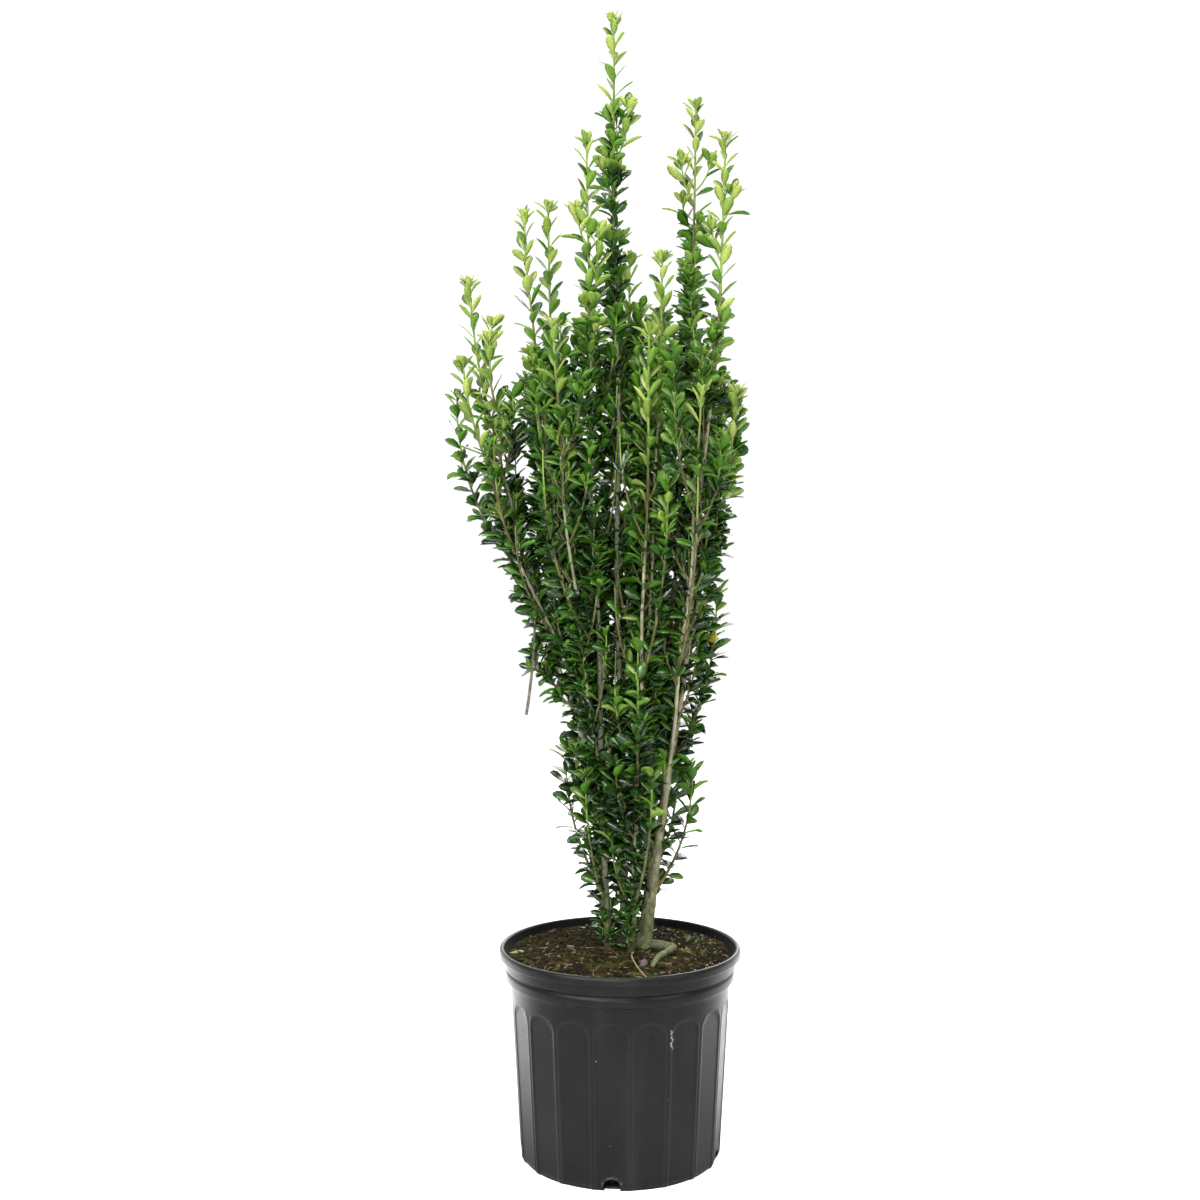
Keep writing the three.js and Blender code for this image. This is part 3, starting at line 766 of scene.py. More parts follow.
class LeafBed(JoinedShapes):
    """Leaves of one tint: thin closed blades in their own outline, glossy above and dull below."""

    # Places along the blade with the half width there, as shares of its length.
    STATIONS = ((0.12, 0.060), (0.37, 0.175), (0.65, 0.207), (0.88, 0.128))
    THICKNESS = 0.6
    LEAST_BEND = 0.02

    def __init__(self) -> None:
        """Starts with no leaves."""
        super().__init__()
        self.rows: list[tuple] = []

    def lay(self, root: Vector, along: Vector, side: Vector, sizes: tuple) -> None:
        """Notes one leaf: its root, directions, length, relative width, fold, bend and twist."""
        self.rows.append((*root, *along, *side, *sizes))

    def parts(self, most: int) -> list["LeafBed"]:
        """Shares the leaves out.

        Args:
            most: How many leaves one part may hold.

        Returns:
            The parts.
        """
        beds = [LeafBed() for _ in range(0, len(self.rows), most)]
        for number, bed in enumerate(beds):
            bed.rows = self.rows[number * most : (number + 1) * most]
        return beds

    @classmethod
    def template(cls) -> tuple[np.ndarray, np.ndarray, np.ndarray]:
        """The shape of a flat leaf of length 1.

        Returns:
            Its points as along, half width, side and depth, its triangles and their slots.
        """
        points = [(0.0, 0.0, 0.0, 0.0)]
        for along, half in cls.STATIONS:
            points += [(along, half, side, 0.0) for side in (1.0, 0.0, -1.0)]
            points.append((along, half, 0.0, 1.0))
        tip = len(points)
        points.append((1.0, 0.0, 0.0, 0.0))
        faces, slots = [], []

        def strips(ring: int) -> list[tuple[int, tuple[int, int]]]:
            """Lists the strips that start on a ring.

            Args:
                ring: Number of its first corner.

            Returns:
                The slot and the two corners of each strip.
            """
            left, middle, right, low = range(ring, ring + 4)
            pairs = ((middle, left), (right, middle), (left, low), (low, right))
            return list(zip((0, 0, 1, 1), pairs))

        for ring in range(1, tip - 4, 4):
            for slot, (first, second) in strips(ring):
                faces += [(first, first + 4, second + 4), (first, second + 4, second)]
                slots += [slot, slot]
        for end, ring, order in ((0, 1, 1), (tip, tip - 4, -1)):
            for slot, (first, second) in strips(ring):
                faces.append((end, first, second)[::order])
                slots.append(slot)
        return np.array(points), np.array(faces), np.array(slots)

    def mesh(self, name: str, smooth: bool = True) -> Mesh:
        """Bends every leaf into its own shape and joins them.

        Args:
            name: The mesh's name.
            smooth: Whether its faces are shaded smooth.

        Returns:
            The joined mesh.
        """
        shape, faces, slots = self.template()
        rows = np.array(self.rows)
        root, along, side = rows[:, None, 0:3], rows[:, None, 3:6], rows[:, None, 6:9]
        length, width, fold, bend, twist = (rows[:, None, i] for i in range(9, 14))
        up = np.cross(along, side)
        share, half, edge, depth = (shape[None, :, i] for i in range(4))
        bend = np.where(np.abs(bend) < self.LEAST_BEND, self.LEAST_BEND, bend)
        turn = bend * share
        run = length * np.sin(turn) / bend
        drop = -length * (1 - np.cos(turn)) / bend
        reach = edge * half * width * length
        lift = fold * np.abs(reach) - depth * self.THICKNESS
        across = reach * np.cos(twist * share) - lift * np.sin(twist * share)
        above = reach * np.sin(twist * share) + lift * np.cos(twist * share)
        points = root + along * (run + above * np.sin(turn))[..., None]
        points = points + up * (drop + above * np.cos(turn))[..., None] + side * across[..., None]
        maps = np.stack([0.5 + 0.5 * shape[:, 2], shape[:, 0]], 1)
        self.add(points, faces, maps, slots)
        return super().mesh(name, smooth)


class TubeBed(JoinedShapes):
    """Thin tapering tubes, such as twigs and straws."""

    def lay(self, line: Sequence[Vector], first_radius: float, last_radius: float, sides: int = 5) -> None:
        """Adds a tube along a line, closed to a point at both ends.

        Args:
            line: Points along its axis.
            first_radius: Radius at its foot.
            last_radius: Radius at its tip.
            sides: How many sides it has.
        """
        axis = np.array([tuple(point) for point in line])
        tangent = np.gradient(axis, axis=0)
        tangent /= np.linalg.norm(tangent, axis=1)[:, None]
        whole = axis[-1] - axis[0]
        guide = np.eye(3)[int(np.argmin(np.abs(whole)))]
        first = np.cross(guide, tangent)
        first /= np.linalg.norm(first, axis=1)[:, None]
        second = np.cross(tangent, first)
        angles = TAU * np.arange(sides) / sides
        radii = np.linspace(first_radius, last_radius, len(axis))[:, None, None]
        cosines, sines = np.cos(angles)[None, :, None], np.sin(angles)[None, :, None]
        spokes = first[:, None] * cosines + second[:, None] * sines
        rings = (axis[:, None] + radii * spokes).reshape(-1, 3)
        ends = np.array([axis[0] - tangent[0] * first_radius, axis[-1] + tangent[-1] * last_radius])
        points = np.concatenate([rings, ends])
        self.add(points[None], *self.template(len(axis), sides))

    @staticmethod
    def template(rings: int, sides: int) -> tuple[np.ndarray, np.ndarray, np.ndarray]:
        """The triangles, map and slots of a closed tube.

        Args:
            rings: How many rings it has.
            sides: How many sides it has.

        Returns:
            The triangles, the map of each point and the slot of each triangle.
        """
        last = (rings - 1) * sides
        faces = []
        for side in range(sides):
            after = (side + 1) % sides
            for ring in range(0, last, sides):
                faces.append((ring + side, ring + after, ring + sides + after))
                faces.append((ring + side, ring + sides + after, ring + sides + side))
            faces.append((last + sides, after, side))
            faces.append((last + sides + 1, last + side, last + after))
        return np.array(faces), np.zeros((rings * sides + 2, 2)), np.zeros(len(faces), int)


class Scatter(JoinedShapes):
    """Copies of one small faceted shape, each turned, stretched and roughened."""

    def __init__(self, shape: Draft) -> None:
        """Takes the shape that is copied.

        Args:
            shape: The shape, about the size of 1, which is freed.
        """
        super().__init__()
        bmesh.ops.triangulate(shape, faces=shape.faces)
        shape.verts.index_update()
        self.shape = np.array([tuple(vertex.co) for vertex in shape.verts])
        self.triangles = np.array([[vertex.index for vertex in face.verts] for face in shape.faces])
        shape.free()

    def lay(self, place: Vector, turn: Matrix, sizes: Vector, rough: float, dice: Dice) -> None:
        """Adds one copy.

        Args:
            place: Where its middle is.
            turn: How it is turned.
            sizes: Its three sizes.
            rough: How far its corners stray, as a share of its size.
            dice: The stream that strays them.
        """
        strays = np.array([[dice.between(-rough, rough) for _ in range(3)] for _ in self.shape])
        points = ((self.shape + strays) * np.array(sizes)) @ np.array(turn.transposed()) + np.array(place)
        blank = np.zeros(len(self.triangles), int)
        self.add(points[None], self.triangles, np.zeros((len(self.shape), 2)), blank)


def cube_shape(bevel: float) -> Draft:
    """A cube of size 1 with its edges cut off.

    Args:
        bevel: How far the cut reaches from an edge.

    Returns:
        The mesh in the making.
    """
    bm = bmesh.new()
    bmesh.ops.create_cube(bm, size=1.0)
    edges = list(bm.edges)
    bmesh.ops.bevel(bm, geom=edges, offset=bevel, affect="EDGES", segments=1, profile=0.5, material=-1)
    return bm


def ball_shape(subdivisions: int) -> Draft:
    """A ball of size 1.

    Args:
        subdivisions: How finely it is divided.

    Returns:
        The mesh in the making.
    """
    bm = bmesh.new()
    bmesh.ops.create_icosphere(bm, subdivisions=subdivisions, radius=0.5)
    return bm


def spike_shape() -> Draft:
    """A three-sided spike of size 1 on its foot.

    Returns:
        The mesh in the making.
    """
    bm = bmesh.new()
    lifted = Matrix.Translation((0, 0, 0.5))
    bmesh.ops.create_cone(bm, cap_ends=True, segments=3, radius1=0.5, radius2=0.0, depth=1.0, matrix=lifted)
    return bm


# The pot


@dataclass(frozen=True)
class Pot:
    """The moulded pot: rolled lip, collar, bead, flat arched panels and drain holes."""

    wall_top: Span = (127.0, 203.0)
    foot: Span = (115.5, 6.0)
    base_radius: float = 112.0
    wall: float = 2.6
    inner_radius: float = 128.7
    panels: int = 18
    first_deg: float = -5.0
    panel_share: float = 0.86
    panel_top: float = 186.0
    arch_height: float = 16.0
    edge_depth: float = 0.5
    edge_width: float = 2.2
    bead: float = 0.35
    holes: tuple[int, ...] = (0, 4, 9, 13)
    hole_radius: float = 9.5
    hole_z: float = 4.0
    hole_depth: float = 20.0
    ring_height: float = 1.1
    columns: int = 20

    # Heights up the plain wall, each with the step to the next.
    WALL_ROWS = ((6.0, 1.6), (24.0, 11.0), (158.0, 1.5), (190.0, 4.0))
    # Corners from the bead to the top of the lip: radius, height and the step to the next.
    RIM = (
        (126.6, 201.5, 0.8), (127.6, 203.6, 0.8), (130.6, 204.8, 0.8), (132.0, 206.0, 1.5),
        (132.6, 211.0, 1.5), (132.3, 214.6, 0.8), (131.0, 216.2, 0.6), (130.8, 217.2, 0.6),
        (132.2, 218.4, 0.7), (133.5, 219.6, 2.0), (134.2, 229.0, 0.8), (135.0, 230.2, 1.2),
        (138.6, 230.6, 0.8), (139.8, 231.8, 0.9), (140.0, 234.0, 1.4), (139.9, 237.4, 0.8),
        (139.2, 239.6, 0.7), (137.8, 240.9, 0.7), (136.2, 241.0, 0.7), (134.9, 240.2, 0.8),
    )

    def wall_radius(self, z: float) -> float:
        """The outer wall's radius at a height below the bead."""
        (top_radius, top_z), (foot_radius, foot_z) = self.wall_top, self.foot
        return lerp(foot_radius, top_radius, (z - foot_z) / (top_z - foot_z))

    def outline(self) -> list[Span]:
        """The section from the middle of the underside up the wall, over the lip and down inside.

        Returns:
            The radius and height of each of its points.
        """
        base, inner = self.base_radius, self.inner_radius
        corners = [(0.0, 0.0, 28.0), (base - 1.0, 0.0, 1.0), (base + 1.2, 0.8, 1.5)]
        corners += [(self.wall_radius(z), z, step) for z, step in self.WALL_ROWS]
        corners += [*self.RIM, (134.0, 238.4, 1.6), (inner + 1.4, 231.5, 1.6), (inner, 229.0, 8.0)]
        corners += [(inner, 206.0, 4.0), (124.0, 204.5, 60.0), (112.8, 9.0, 4.0)]
        corners += [(110.5, self.wall, 40.0), (0.0, self.wall, 1.0)]
        points = []
        for (radius, z, step), (next_radius, next_z, _) in zip(corners, corners[1:]):
            count = max(1, round(math.hypot(next_radius - radius, next_z - z) / step))
            shares = [i / count for i in range(count)]
            points += [(lerp(radius, next_radius, share), lerp(z, next_z, share)) for share in shares]
        return points + [corners[-1][:2]]

    def inside_panel(self, across: float, z: float) -> float:
        """How far a point of the wall is inside its panel's arched outline.

        Args:
            across: Distance from the panel's middle.
            z: Height.

        Returns:
            The distance, which is negative outside.
        """
        half = self.wall_radius(z) * math.sin(math.pi / self.panels * self.panel_share)
        spring = self.panel_top - self.arch_height
        if z <= spring:
            return half - abs(across)
        return (1 - math.hypot(across / half, (z - spring) / self.arch_height)) * self.arch_height

    def moulded(self, radius: float, z: float, angle: float, has_hole: bool) -> Span:
        """A wall point's radius with its panel and hole ring, and how worn it is.

        Args:
            radius: The round wall's radius there.
            z: Its height.
            angle: Its angle from the middle of its panel, in radians.
            has_hole: Whether the panel has a drain hole.

        Returns:
            The moulded radius and the wear from 0 to 2.
        """
        across = radius * math.sin(angle)
        inside = self.inside_panel(across, z)
        half = math.pi / self.panels * self.panel_share
        flat = radius - self.wall_radius(self.panel_top) * (1 - math.cos(half)) - self.edge_depth
        depth = (radius - flat / math.cos(angle)) * smoothstep(0.0, self.edge_width, inside)
        edge = bump(inside + 0.6, 1.0)
        ring = 0.0
        if has_hole:
            ring = bump(math.hypot(across, z - self.hole_z) - self.hole_radius - 2.0, 1.6)
        return radius - depth + self.bead * edge + self.ring_height * ring, max(edge, 2.0 * ring)

    def column_angle(self, column: int) -> float:
        """Places a column on its panel, with most columns near the panel's edges.

        Args:
            column: Number of the column.

        Returns:
            The angle from the panel's middle in radians.
        """
        half = 180 / self.panels
        edge = half * self.panel_share
        places = (0.0, 0.14, 0.36, 0.64, 0.86, 1.0)
        angles = (-half, -edge - 0.35, -edge + 1.6, edge - 1.6, edge + 0.35, half)
        return math.radians(float(np.interp(column / self.columns, places, angles)))

    def panel_angle(self, panel: int) -> float:
        """The angle of a panel's middle from the front, in radians."""
        return math.radians(self.first_deg + 360 / self.panels * panel)

    def sector(self, bm: Draft, panel: int) -> None:
        """Adds the wall of one panel, from the underside to the inside.

        Args:
            bm: The mesh that it is added to.
            panel: The panel's number, from the front to the right.
        """
        outline = self.outline()
        wear = bm.verts.layers.float["rib"]
        middle = self.panel_angle(panel)
        lip = outline.index(max(outline, key=lambda point: point[1]))
        for vertex, column, row in grid_points(bm, self.columns, len(outline) - 1):
            radius, z = outline[row]
            angle = self.column_angle(column)
            # Rows from the lip's inner edge on get -1, which the pot plastic paints near black as painted
            # shade.
            worn = 0.45 * bump(row - lip, 3.0) if row < lip + 4 else -1.0
            if row < lip and radius > self.base_radius and z < self.wall_top[1] - 2:
                radius, worn = self.moulded(radius, z, angle, panel in self.holes)
            vertex.co = (radius * math.sin(middle + angle), -radius * math.cos(middle + angle), z)
            vertex[wear] = worn

    def hole_cutter(self) -> Piece:
        """Makes the drain holes as short round bars through the foot of the wall.

        Returns:
            The bars.
        """
        bm = bmesh.new()
        place = Matrix.Translation((0, -self.foot[0], self.hole_z)) @ Matrix.Rotation(math.pi / 2, 4, "X")
        bar = {"radius1": self.hole_radius, "radius2": self.hole_radius, "depth": self.hole_depth}
        for panel in self.holes:
            turn = Matrix.Rotation(self.panel_angle(panel), 4, "Z")
            bmesh.ops.create_cone(bm, cap_ends=True, segments=40, matrix=turn @ place, **bar)
        return finished("drain_cutter", closed_mesh(bm, "drain_cutter"))

    def build(self) -> None:
        """Builds the pot, cuts its drain holes and dresses it."""
        bm = bmesh.new()
        bm.verts.layers.float.new("rib")
        for panel in range(self.panels):
            self.sector(bm, panel)
        whole = finished("pot_blank", closed_mesh(bm, "pot_blank", 50.0))
        cutter = self.hole_cutter()
        cut = whole.modifiers.new("drain holes", "BOOLEAN")
        cut.operation = "DIFFERENCE"
        cut.object = cutter
        cut.solver = "EXACT"
        ready = whole.evaluated_get(bpy.context.evaluated_depsgraph_get())
        mesh = bpy.data.meshes.new_from_object(ready)
        for spare in (whole, cutter):
            bpy.data.objects.remove(spare)
        mesh.name = "pot_shell"
        settle(finished("pot_shell", mesh, PotPlastic().material()), "pot_plastic", "pot")


# The soil and what lies on it


@dataclass(frozen=True)
class Litter:
    """Loose flat bits of one kind on the soil, with their sizes, how they lie and their finish."""

    name: str
    seed: int
    count: int
    bevel: float
    length: Span
    shortness: float
    breadth: Span
    depth: Span
    lift: float
    tilt: float
    rough: float
    finish: GrainFinish


BARK_CHIPS = Litter(
    name="bark_chips", seed=21, count=700, bevel=0.16, length=(2.0, 9.0), shortness=1.0,
    breadth=(0.3, 0.7), depth=(1.0, 2.6), lift=0.5, tilt=0.4, rough=0.16,
    finish=GrainFinish("bark chip", (0.030, 0.020, 0.011), 120.0, 1.3, 0.9, 0.8, 600.0, 0.12),
)
DRY_SLIVERS = Litter(
    name="dry_slivers", seed=22, count=300, bevel=0.2, length=(1.6, 10.0), shortness=2.4,
    breadth=(0.12, 0.4), depth=(0.5, 1.2), lift=0.9, tilt=0.35, rough=0.14,
    finish=GrainFinish("dry sliver", (0.215, 0.158, 0.085), 110.0, 1.2, 0.9, 0.6, 700.0, 0.15),
)
# Coated grains of plant feed: name, colour, share of all grains and random stream.
FEED = (
    ("teal_grains", (0.020, 0.115, 0.078), 0.75, 23),
    ("lime_grains", (0.220, 0.250, 0.040), 0.25, 24),
)
# The long pale stalk by the root: where it passes and how high above the soil.
PALE_STALK = ((17, -18, 1.5), (13, -36, 2.5), (15, -66, 2.5), (21, -94, 2.0), (28, -117, 2.0))
# Where stones lie, and their size.
STONES = ((26, -73, 10.0), (82, 44, 8.0), (-70, -40, 5.0), (60, 88, 6.0))
# Where leaves have fallen, by their tint.
FALLEN_LEAVES = {Tint.YOUNG: [(-119, -8)], Tint.DEEP: [(-48, 104), (-20, -60)]}


@dataclass(frozen=True)
class SoilBed:
    """The potting mix with moss, bark, feed grains, straws, stones and fallen leaves on it."""

    radius: float = 130.2
    edge_z: float = 232.5
    mound_z: float = 236.5
    mound_radius: float = 80.0
    columns: int = 220
    top_rows: int = 62
    grains: int = 120
    moss: int = 6000
    stalks: int = 60

    # Radius and height down the side and across the foot.
    SIDE = ((128.2, 229.0), (128.2, 206.0), (122.0, 205.6), (117.0, 110.0), (112.0, 36.0))
    FOOT = ((101.0, 24.0), (98.0, 3.2), (60.0, 3.0), (0.0, 3.0))

    def height(self, x: float, y: float) -> float:
        """The soil's rough surface at a place.

        Args:
            x: Place across.
            y: Place in depth.

        Returns:
            The surface's height.
        """
        away = math.hypot(x, y)
        share = clamp((away - self.mound_radius) / (self.radius - self.mound_radius))
        level = lerp(self.mound_z, self.edge_z, share)
        coarse = noise.noise(Vector((x, y, 3.0)) / 22.0)
        fine = noise.noise(Vector((x, y, 9.0)) / 7.0) + 0.6 * noise.noise(Vector((x, y, 5.0)) / 3.1)
        return level + (1.6 * coarse + 1.1 * fine) * (1 - 0.7 * smoothstep(118, 128, away))

    def above(self, x: float, y: float, lift: float) -> Vector:
        """The point so far above the soil at a place."""
        return Vector((x, y, self.height(x, y) + lift))

    def add_bed(self) -> None:
        """Adds the root ball with its rough top."""
        rows = [(self.radius * i / self.top_rows, None) for i in range(self.top_rows)]
        rows += [(self.radius, self.edge_z), *self.SIDE, *self.FOOT]
        bm = bmesh.new()
        for vertex, column, row in grid_points(bm, self.columns, len(rows) - 1):
            radius, z = rows[row]
            angle = TAU * column / self.columns
            x, y = radius * math.cos(angle), radius * math.sin(angle)
            vertex.co = (x, y, self.height(x, y) if z is None else z)
        bed = finished("soil_bed", closed_mesh(bm, "soil_bed", 75.0), PottingMix().material())
        settle(bed, "potting_soil", "soil")

    def spot(self, dice: Dice, side: float = 0.0) -> Vector:
        """Draws a place on the soil.

        Args:
            dice: The random stream.
            side: How strongly it is drawn to the right and back.

        Returns:
            The place.
        """
        while True:
            radius = (self.radius - 5) * math.sqrt(dice.number())
            angle = TAU * dice.number()
            x, y = radius * math.cos(angle), radius * math.sin(angle)
            if dice.number() > side * (1 - smoothstep(-40, 70, x + 0.5 * y)):
                return self.above(x, y, 0.0)

    def lying(self, dice: Dice, tilt: float) -> Matrix:
        """Draws how a bit lies.

        Args:
            dice: Random draws.
            tilt: The most that it tilts in radians.

        Returns:
            A turn about the upright, with a small tilt.
        """
        turn = Matrix.Rotation(TAU * dice.number(), 3, "Z")
        for axis in "XY":
            turn = turn @ Matrix.Rotation(dice.between(-tilt, tilt), 3, axis)
        return turn

    def put(self, name: str, bits: JoinedShapes, finish: GrainFinish, smooth: bool = True) -> None:
        """Joins and dresses bits that lie on the soil."""
        settle(finished(name, bits.mesh(name, smooth), finish.material()), "potting_soil", "soil")

    def add_litter(self, kind: Litter) -> None:
        """Adds loose flat bits of one kind.

        Args:
            kind: Their number, sizes and finish.
        """
        dice = Dice(SEED + kind.seed)
        bits = Scatter(cube_shape(kind.bevel))
        for _ in range(kind.count):
            length = lerp(*kind.length, dice.number() ** kind.shortness)
            sizes = Vector((length, length * dice.between(*kind.breadth), dice.between(*kind.depth)))
            bits.lay(self.spot(dice) + kind.lift * UP, self.lying(dice, kind.tilt), sizes, kind.rough, dice)
        self.put(kind.name, bits, kind.finish, smooth=False)

    def add_moss(self) -> None:
        """Adds short moss where the surface is damp."""
        dice = Dice(SEED + 25)
        spikes = Scatter(spike_shape())
        while spikes.count < self.moss * len(spikes.shape):
            place = self.spot(dice)
            if noise.noise(Vector((place.x, place.y, 40.0)) / 24.0) < dice.between(-0.3, 0.35):
                continue
            sizes = Vector((dice.between(0.5, 1.1), dice.between(0.5, 1.1), dice.between(1.6, 4.2)))
            spikes.lay(place - 0.4 * UP, self.lying(dice, 0.9), sizes, 0.05, dice)
        finish = GrainFinish("moss", (0.080, 0.076, 0.018), 60.0, 1.2, 0.95, 0.6, 900.0, 0.08)
        self.put("moss_tufts", spikes, finish, smooth=False)

    def add_straws(self) -> None:
        """Adds dry stalks and needles, with one long pale stalk by the root."""
        dice = Dice(SEED + 26)
        stalks = TubeBed()
        for _ in range(self.stalks):
            line = [self.spot(dice)]
            heading = TAU * dice.number()
            length, curl = dice.between(8, 24), dice.between(-0.02, 0.02)
            for _ in range(4):
                heading += curl * length
                step = Vector((math.cos(heading), math.sin(heading), 0)) * length / 4
                x, y = (line[-1] + step).xy
                if math.hypot(x, y) > self.radius - 3:
                    break
                line.append(self.above(x, y, 0.5))
            if len(line) > 2:
                stalks.lay(line, dice.between(0.3, 0.6), 0.25, 4)
        stalks.lay(smooth_line([self.above(*mark) for mark in PALE_STALK], 5), 1.0, 0.8, 6)
        finish = GrainFinish("straw", (0.420, 0.330, 0.170), 70.0, 0.7, 0.7, 0.4, 800.0)
        self.put("straws", stalks, finish)

    def add_stones(self) -> None:
        """Adds a pale stone at the end of the surface root and a few smaller ones."""
        dice = Dice(SEED + 27)
        stones = Scatter(ball_shape(3))
        for x, y, size in STONES:
            sizes = Vector((size, 0.8 * size, 0.75 * size))
            stones.lay(self.above(x, y, 0.25 * size), self.lying(dice, 0.5), sizes, 0.03, dice)
        self.put("stones", stones, GrainFinish("stone", (0.190, 0.160, 0.135), 130.0, 0.9, 0.75, 0.6, 700.0))

    def add_feed(self, name: str, colour: Colour, share: float, seed: int) -> None:
        """Adds round coated grains of plant feed.

        Args:
            name: The piece's name.
            colour: Their colour.
            share: Which share of all grains has this colour.
            seed: Their own random stream.
        """
        dice = Dice(SEED + seed)
        grains = Scatter(ball_shape(2))
        for _ in range(round(self.grains * share)):
            size = dice.between(1.9, 3.1)
            place = self.spot(dice, 0.96) + 0.25 * size * UP
            grains.lay(place, Matrix.Identity(3), size * Vector((1, 1, 0.95)), 0.02, dice)
        finish = GrainFinish(name.replace("_", " "), colour, 160.0, 0.9, 0.45, 0.25, 900.0, 0.5)
        self.put(name, grains, finish)

    def add_fallen_leaves(self) -> None:
        """Adds the few green leaves that lie on the soil."""
        dice = Dice(SEED + 28)
        for tint, places in FALLEN_LEAVES.items():
            bed = LeafBed()
            for x, y in places:
                heading = TAU * dice.number()
                along = Vector((math.cos(heading), math.sin(heading), 0.12)).normalized()
                side = UP.cross(along).normalized()
                root = self.above(x, y, 2.2) - 10 * along
                bed.lay(root, along, side, (dice.between(18, 23), 1.0, 0.2, 0.3, 0.2))
            name = f"fallen_{tint.value.name}"
            leaves = finished(name, bed.mesh(name), tint.value.upper(), tint.value.under())
            settle(leaves, "foliage", "soil")

    def build(self) -> None:
        """Builds the soil and all that lies on it."""
        self.add_bed()
        for kind in (BARK_CHIPS, DRY_SLIVERS):
            self.add_litter(kind)
        self.add_moss()
        self.add_straws()
        self.add_stones()
        for row in FEED:
            self.add_feed(*row)
        self.add_fallen_leaves()


# Paths


def smooth_line(points: Sequence[Vector], steps: int) -> list[Vector]:
    """A smooth curve through points.

    Args:
        points: The points that it passes.
        steps: Steps between two of them.

    Returns:
        The points of the curve.
    """
    line = []
    last = len(points) - 1
    for i in range(last):
        before, start = points[max(i - 1, 0)], points[i]
        end, after = points[i + 1], points[min(i + 2, last)]
        lean_out, lean_in = (end - before) / 2, (after - start) / 2
        for step in range(steps):
            share = step / steps
            cube, square = share**3, share**2
            line.append(
                start * (2 * cube - 3 * square + 1)
                + lean_out * (cube - 2 * square + share)
                + end * (3 * square - 2 * cube)
                + lean_in * (cube - square)
            )
    return line + [points[last].copy()]


@dataclass(frozen=True)
class LeaningPath:
    """A path that rises evenly from foot to tip and leans out early, so that it ends upright."""

    foot: Vector
    tip: Vector
    ease: float
    sway: Triple = (0.0, 0.0, 0.0)

    @property
    def rise(self) -> float:
        """The height from foot to tip."""
        return self.tip.z - self.foot.z

    def share_at(self, z: float) -> float:
        """The share of the rise at a height."""
        return (z - self.foot.z) / self.rise

    def point(self, share: float) -> Vector:
        """A point of the path, with the limb's own slight sway.

        Args:
            share: Share of the rise.

        Returns:
            The point.
        """
        lean = 1 - (1 - clamp(share)) ** self.ease
        size, first, second = self.sway
        swing = size * math.sin(math.pi * clamp(share))
        x = lerp(self.foot.x, self.tip.x, lean) + swing * math.sin(TAU * (2.3 * share + first))
        y = lerp(self.foot.y, self.tip.y, lean) + swing * math.sin(TAU * (1.9 * share + second))
        return Vector((x, y, lerp(self.foot.z, self.tip.z, share)))

    def direction(self, share: float) -> Vector:
        """The way that the path heads at a share of the rise."""
        step = 0.004
        return (self.point(min(1, share + step)) - self.point(max(0, share - step))).normalized()

    def stance(self, share: float) -> tuple[Vector, Vector]:
        """The point and the heading at a share of the rise."""
        return self.point(share), self.direction(share)

    def line(self, first: float, last: float, steps: int) -> list[Vector]:
        """Points along a stretch of the path."""
        return [self.point(lerp(first, last, i / steps)) for i in range(steps + 1)]


class TakenRoom:
    """The lines of all shoots so far, which later ones keep away from."""

    def __init__(self) -> None:
        """Starts with no line."""
        self.starts = np.empty((0, 3))
        self.steps = np.empty((0, 3))

    def add(self, line: Sequence[Vector]) -> None:
        """Adds a line of straight steps.

        Args:
            line: Its points.
        """
        points = np.array([tuple(point) for point in line])
        self.starts = np.concatenate([self.starts, points[:-1]])
        self.steps = np.concatenate([self.steps, np.diff(points, axis=0)])

    def clearance(self, line: Sequence[Vector]) -> float:
        """How much room a line has.

        Args:
            line: Its points.

        Returns:
            The least distance from them to all lines so far.
        """
        offsets = np.array([tuple(point) for point in line])[:, None] - self.starts[None]
        shares = np.clip((offsets * self.steps).sum(2) / (self.steps * self.steps).sum(1), 0, 1)
        return float(np.linalg.norm(offsets - shares[..., None] * self.steps, axis=2).min())


def spoke_at(axis: Vector, turn: float) -> Vector:
    """A direction away from an axis.

    Args:
        axis: The axis.
        turn: The angle round it in radians.

    Returns:
        The direction.
    """
    guide = Vector((1, 0, 0)) if abs(axis.y) > 0.8 else Vector((0, 1, 0))
    first = guide.cross(axis).normalized()
    return first * math.cos(turn) + axis.cross(first) * math.sin(turn)


def slanted(spoke: Vector, axis: Vector, tilt: float) -> Vector:
    """The direction at an angle from an axis towards a spoke."""
    return spoke * math.sin(tilt) + axis * math.cos(tilt)


# Stems and boughs


@dataclass(frozen=True)
class LimbPlan:
    """Where a limb starts and ends, how thick it is and how much of it is new growth."""

    name: str
    tip: Triple
    radius: float
    new_growth: float
    foot: Span = (0.0, 0.0)
    parent: str = ""
    fork: float = 0.0
    # Share of tan bark; a negative value paints the bark paler as painted light.
    tan: float = 0.5
    first_spur: float = 12.0
    sparse: float = 1.0
    swell: float = 0.0
    earthy: float = 1.0
    brown: float = 280.0


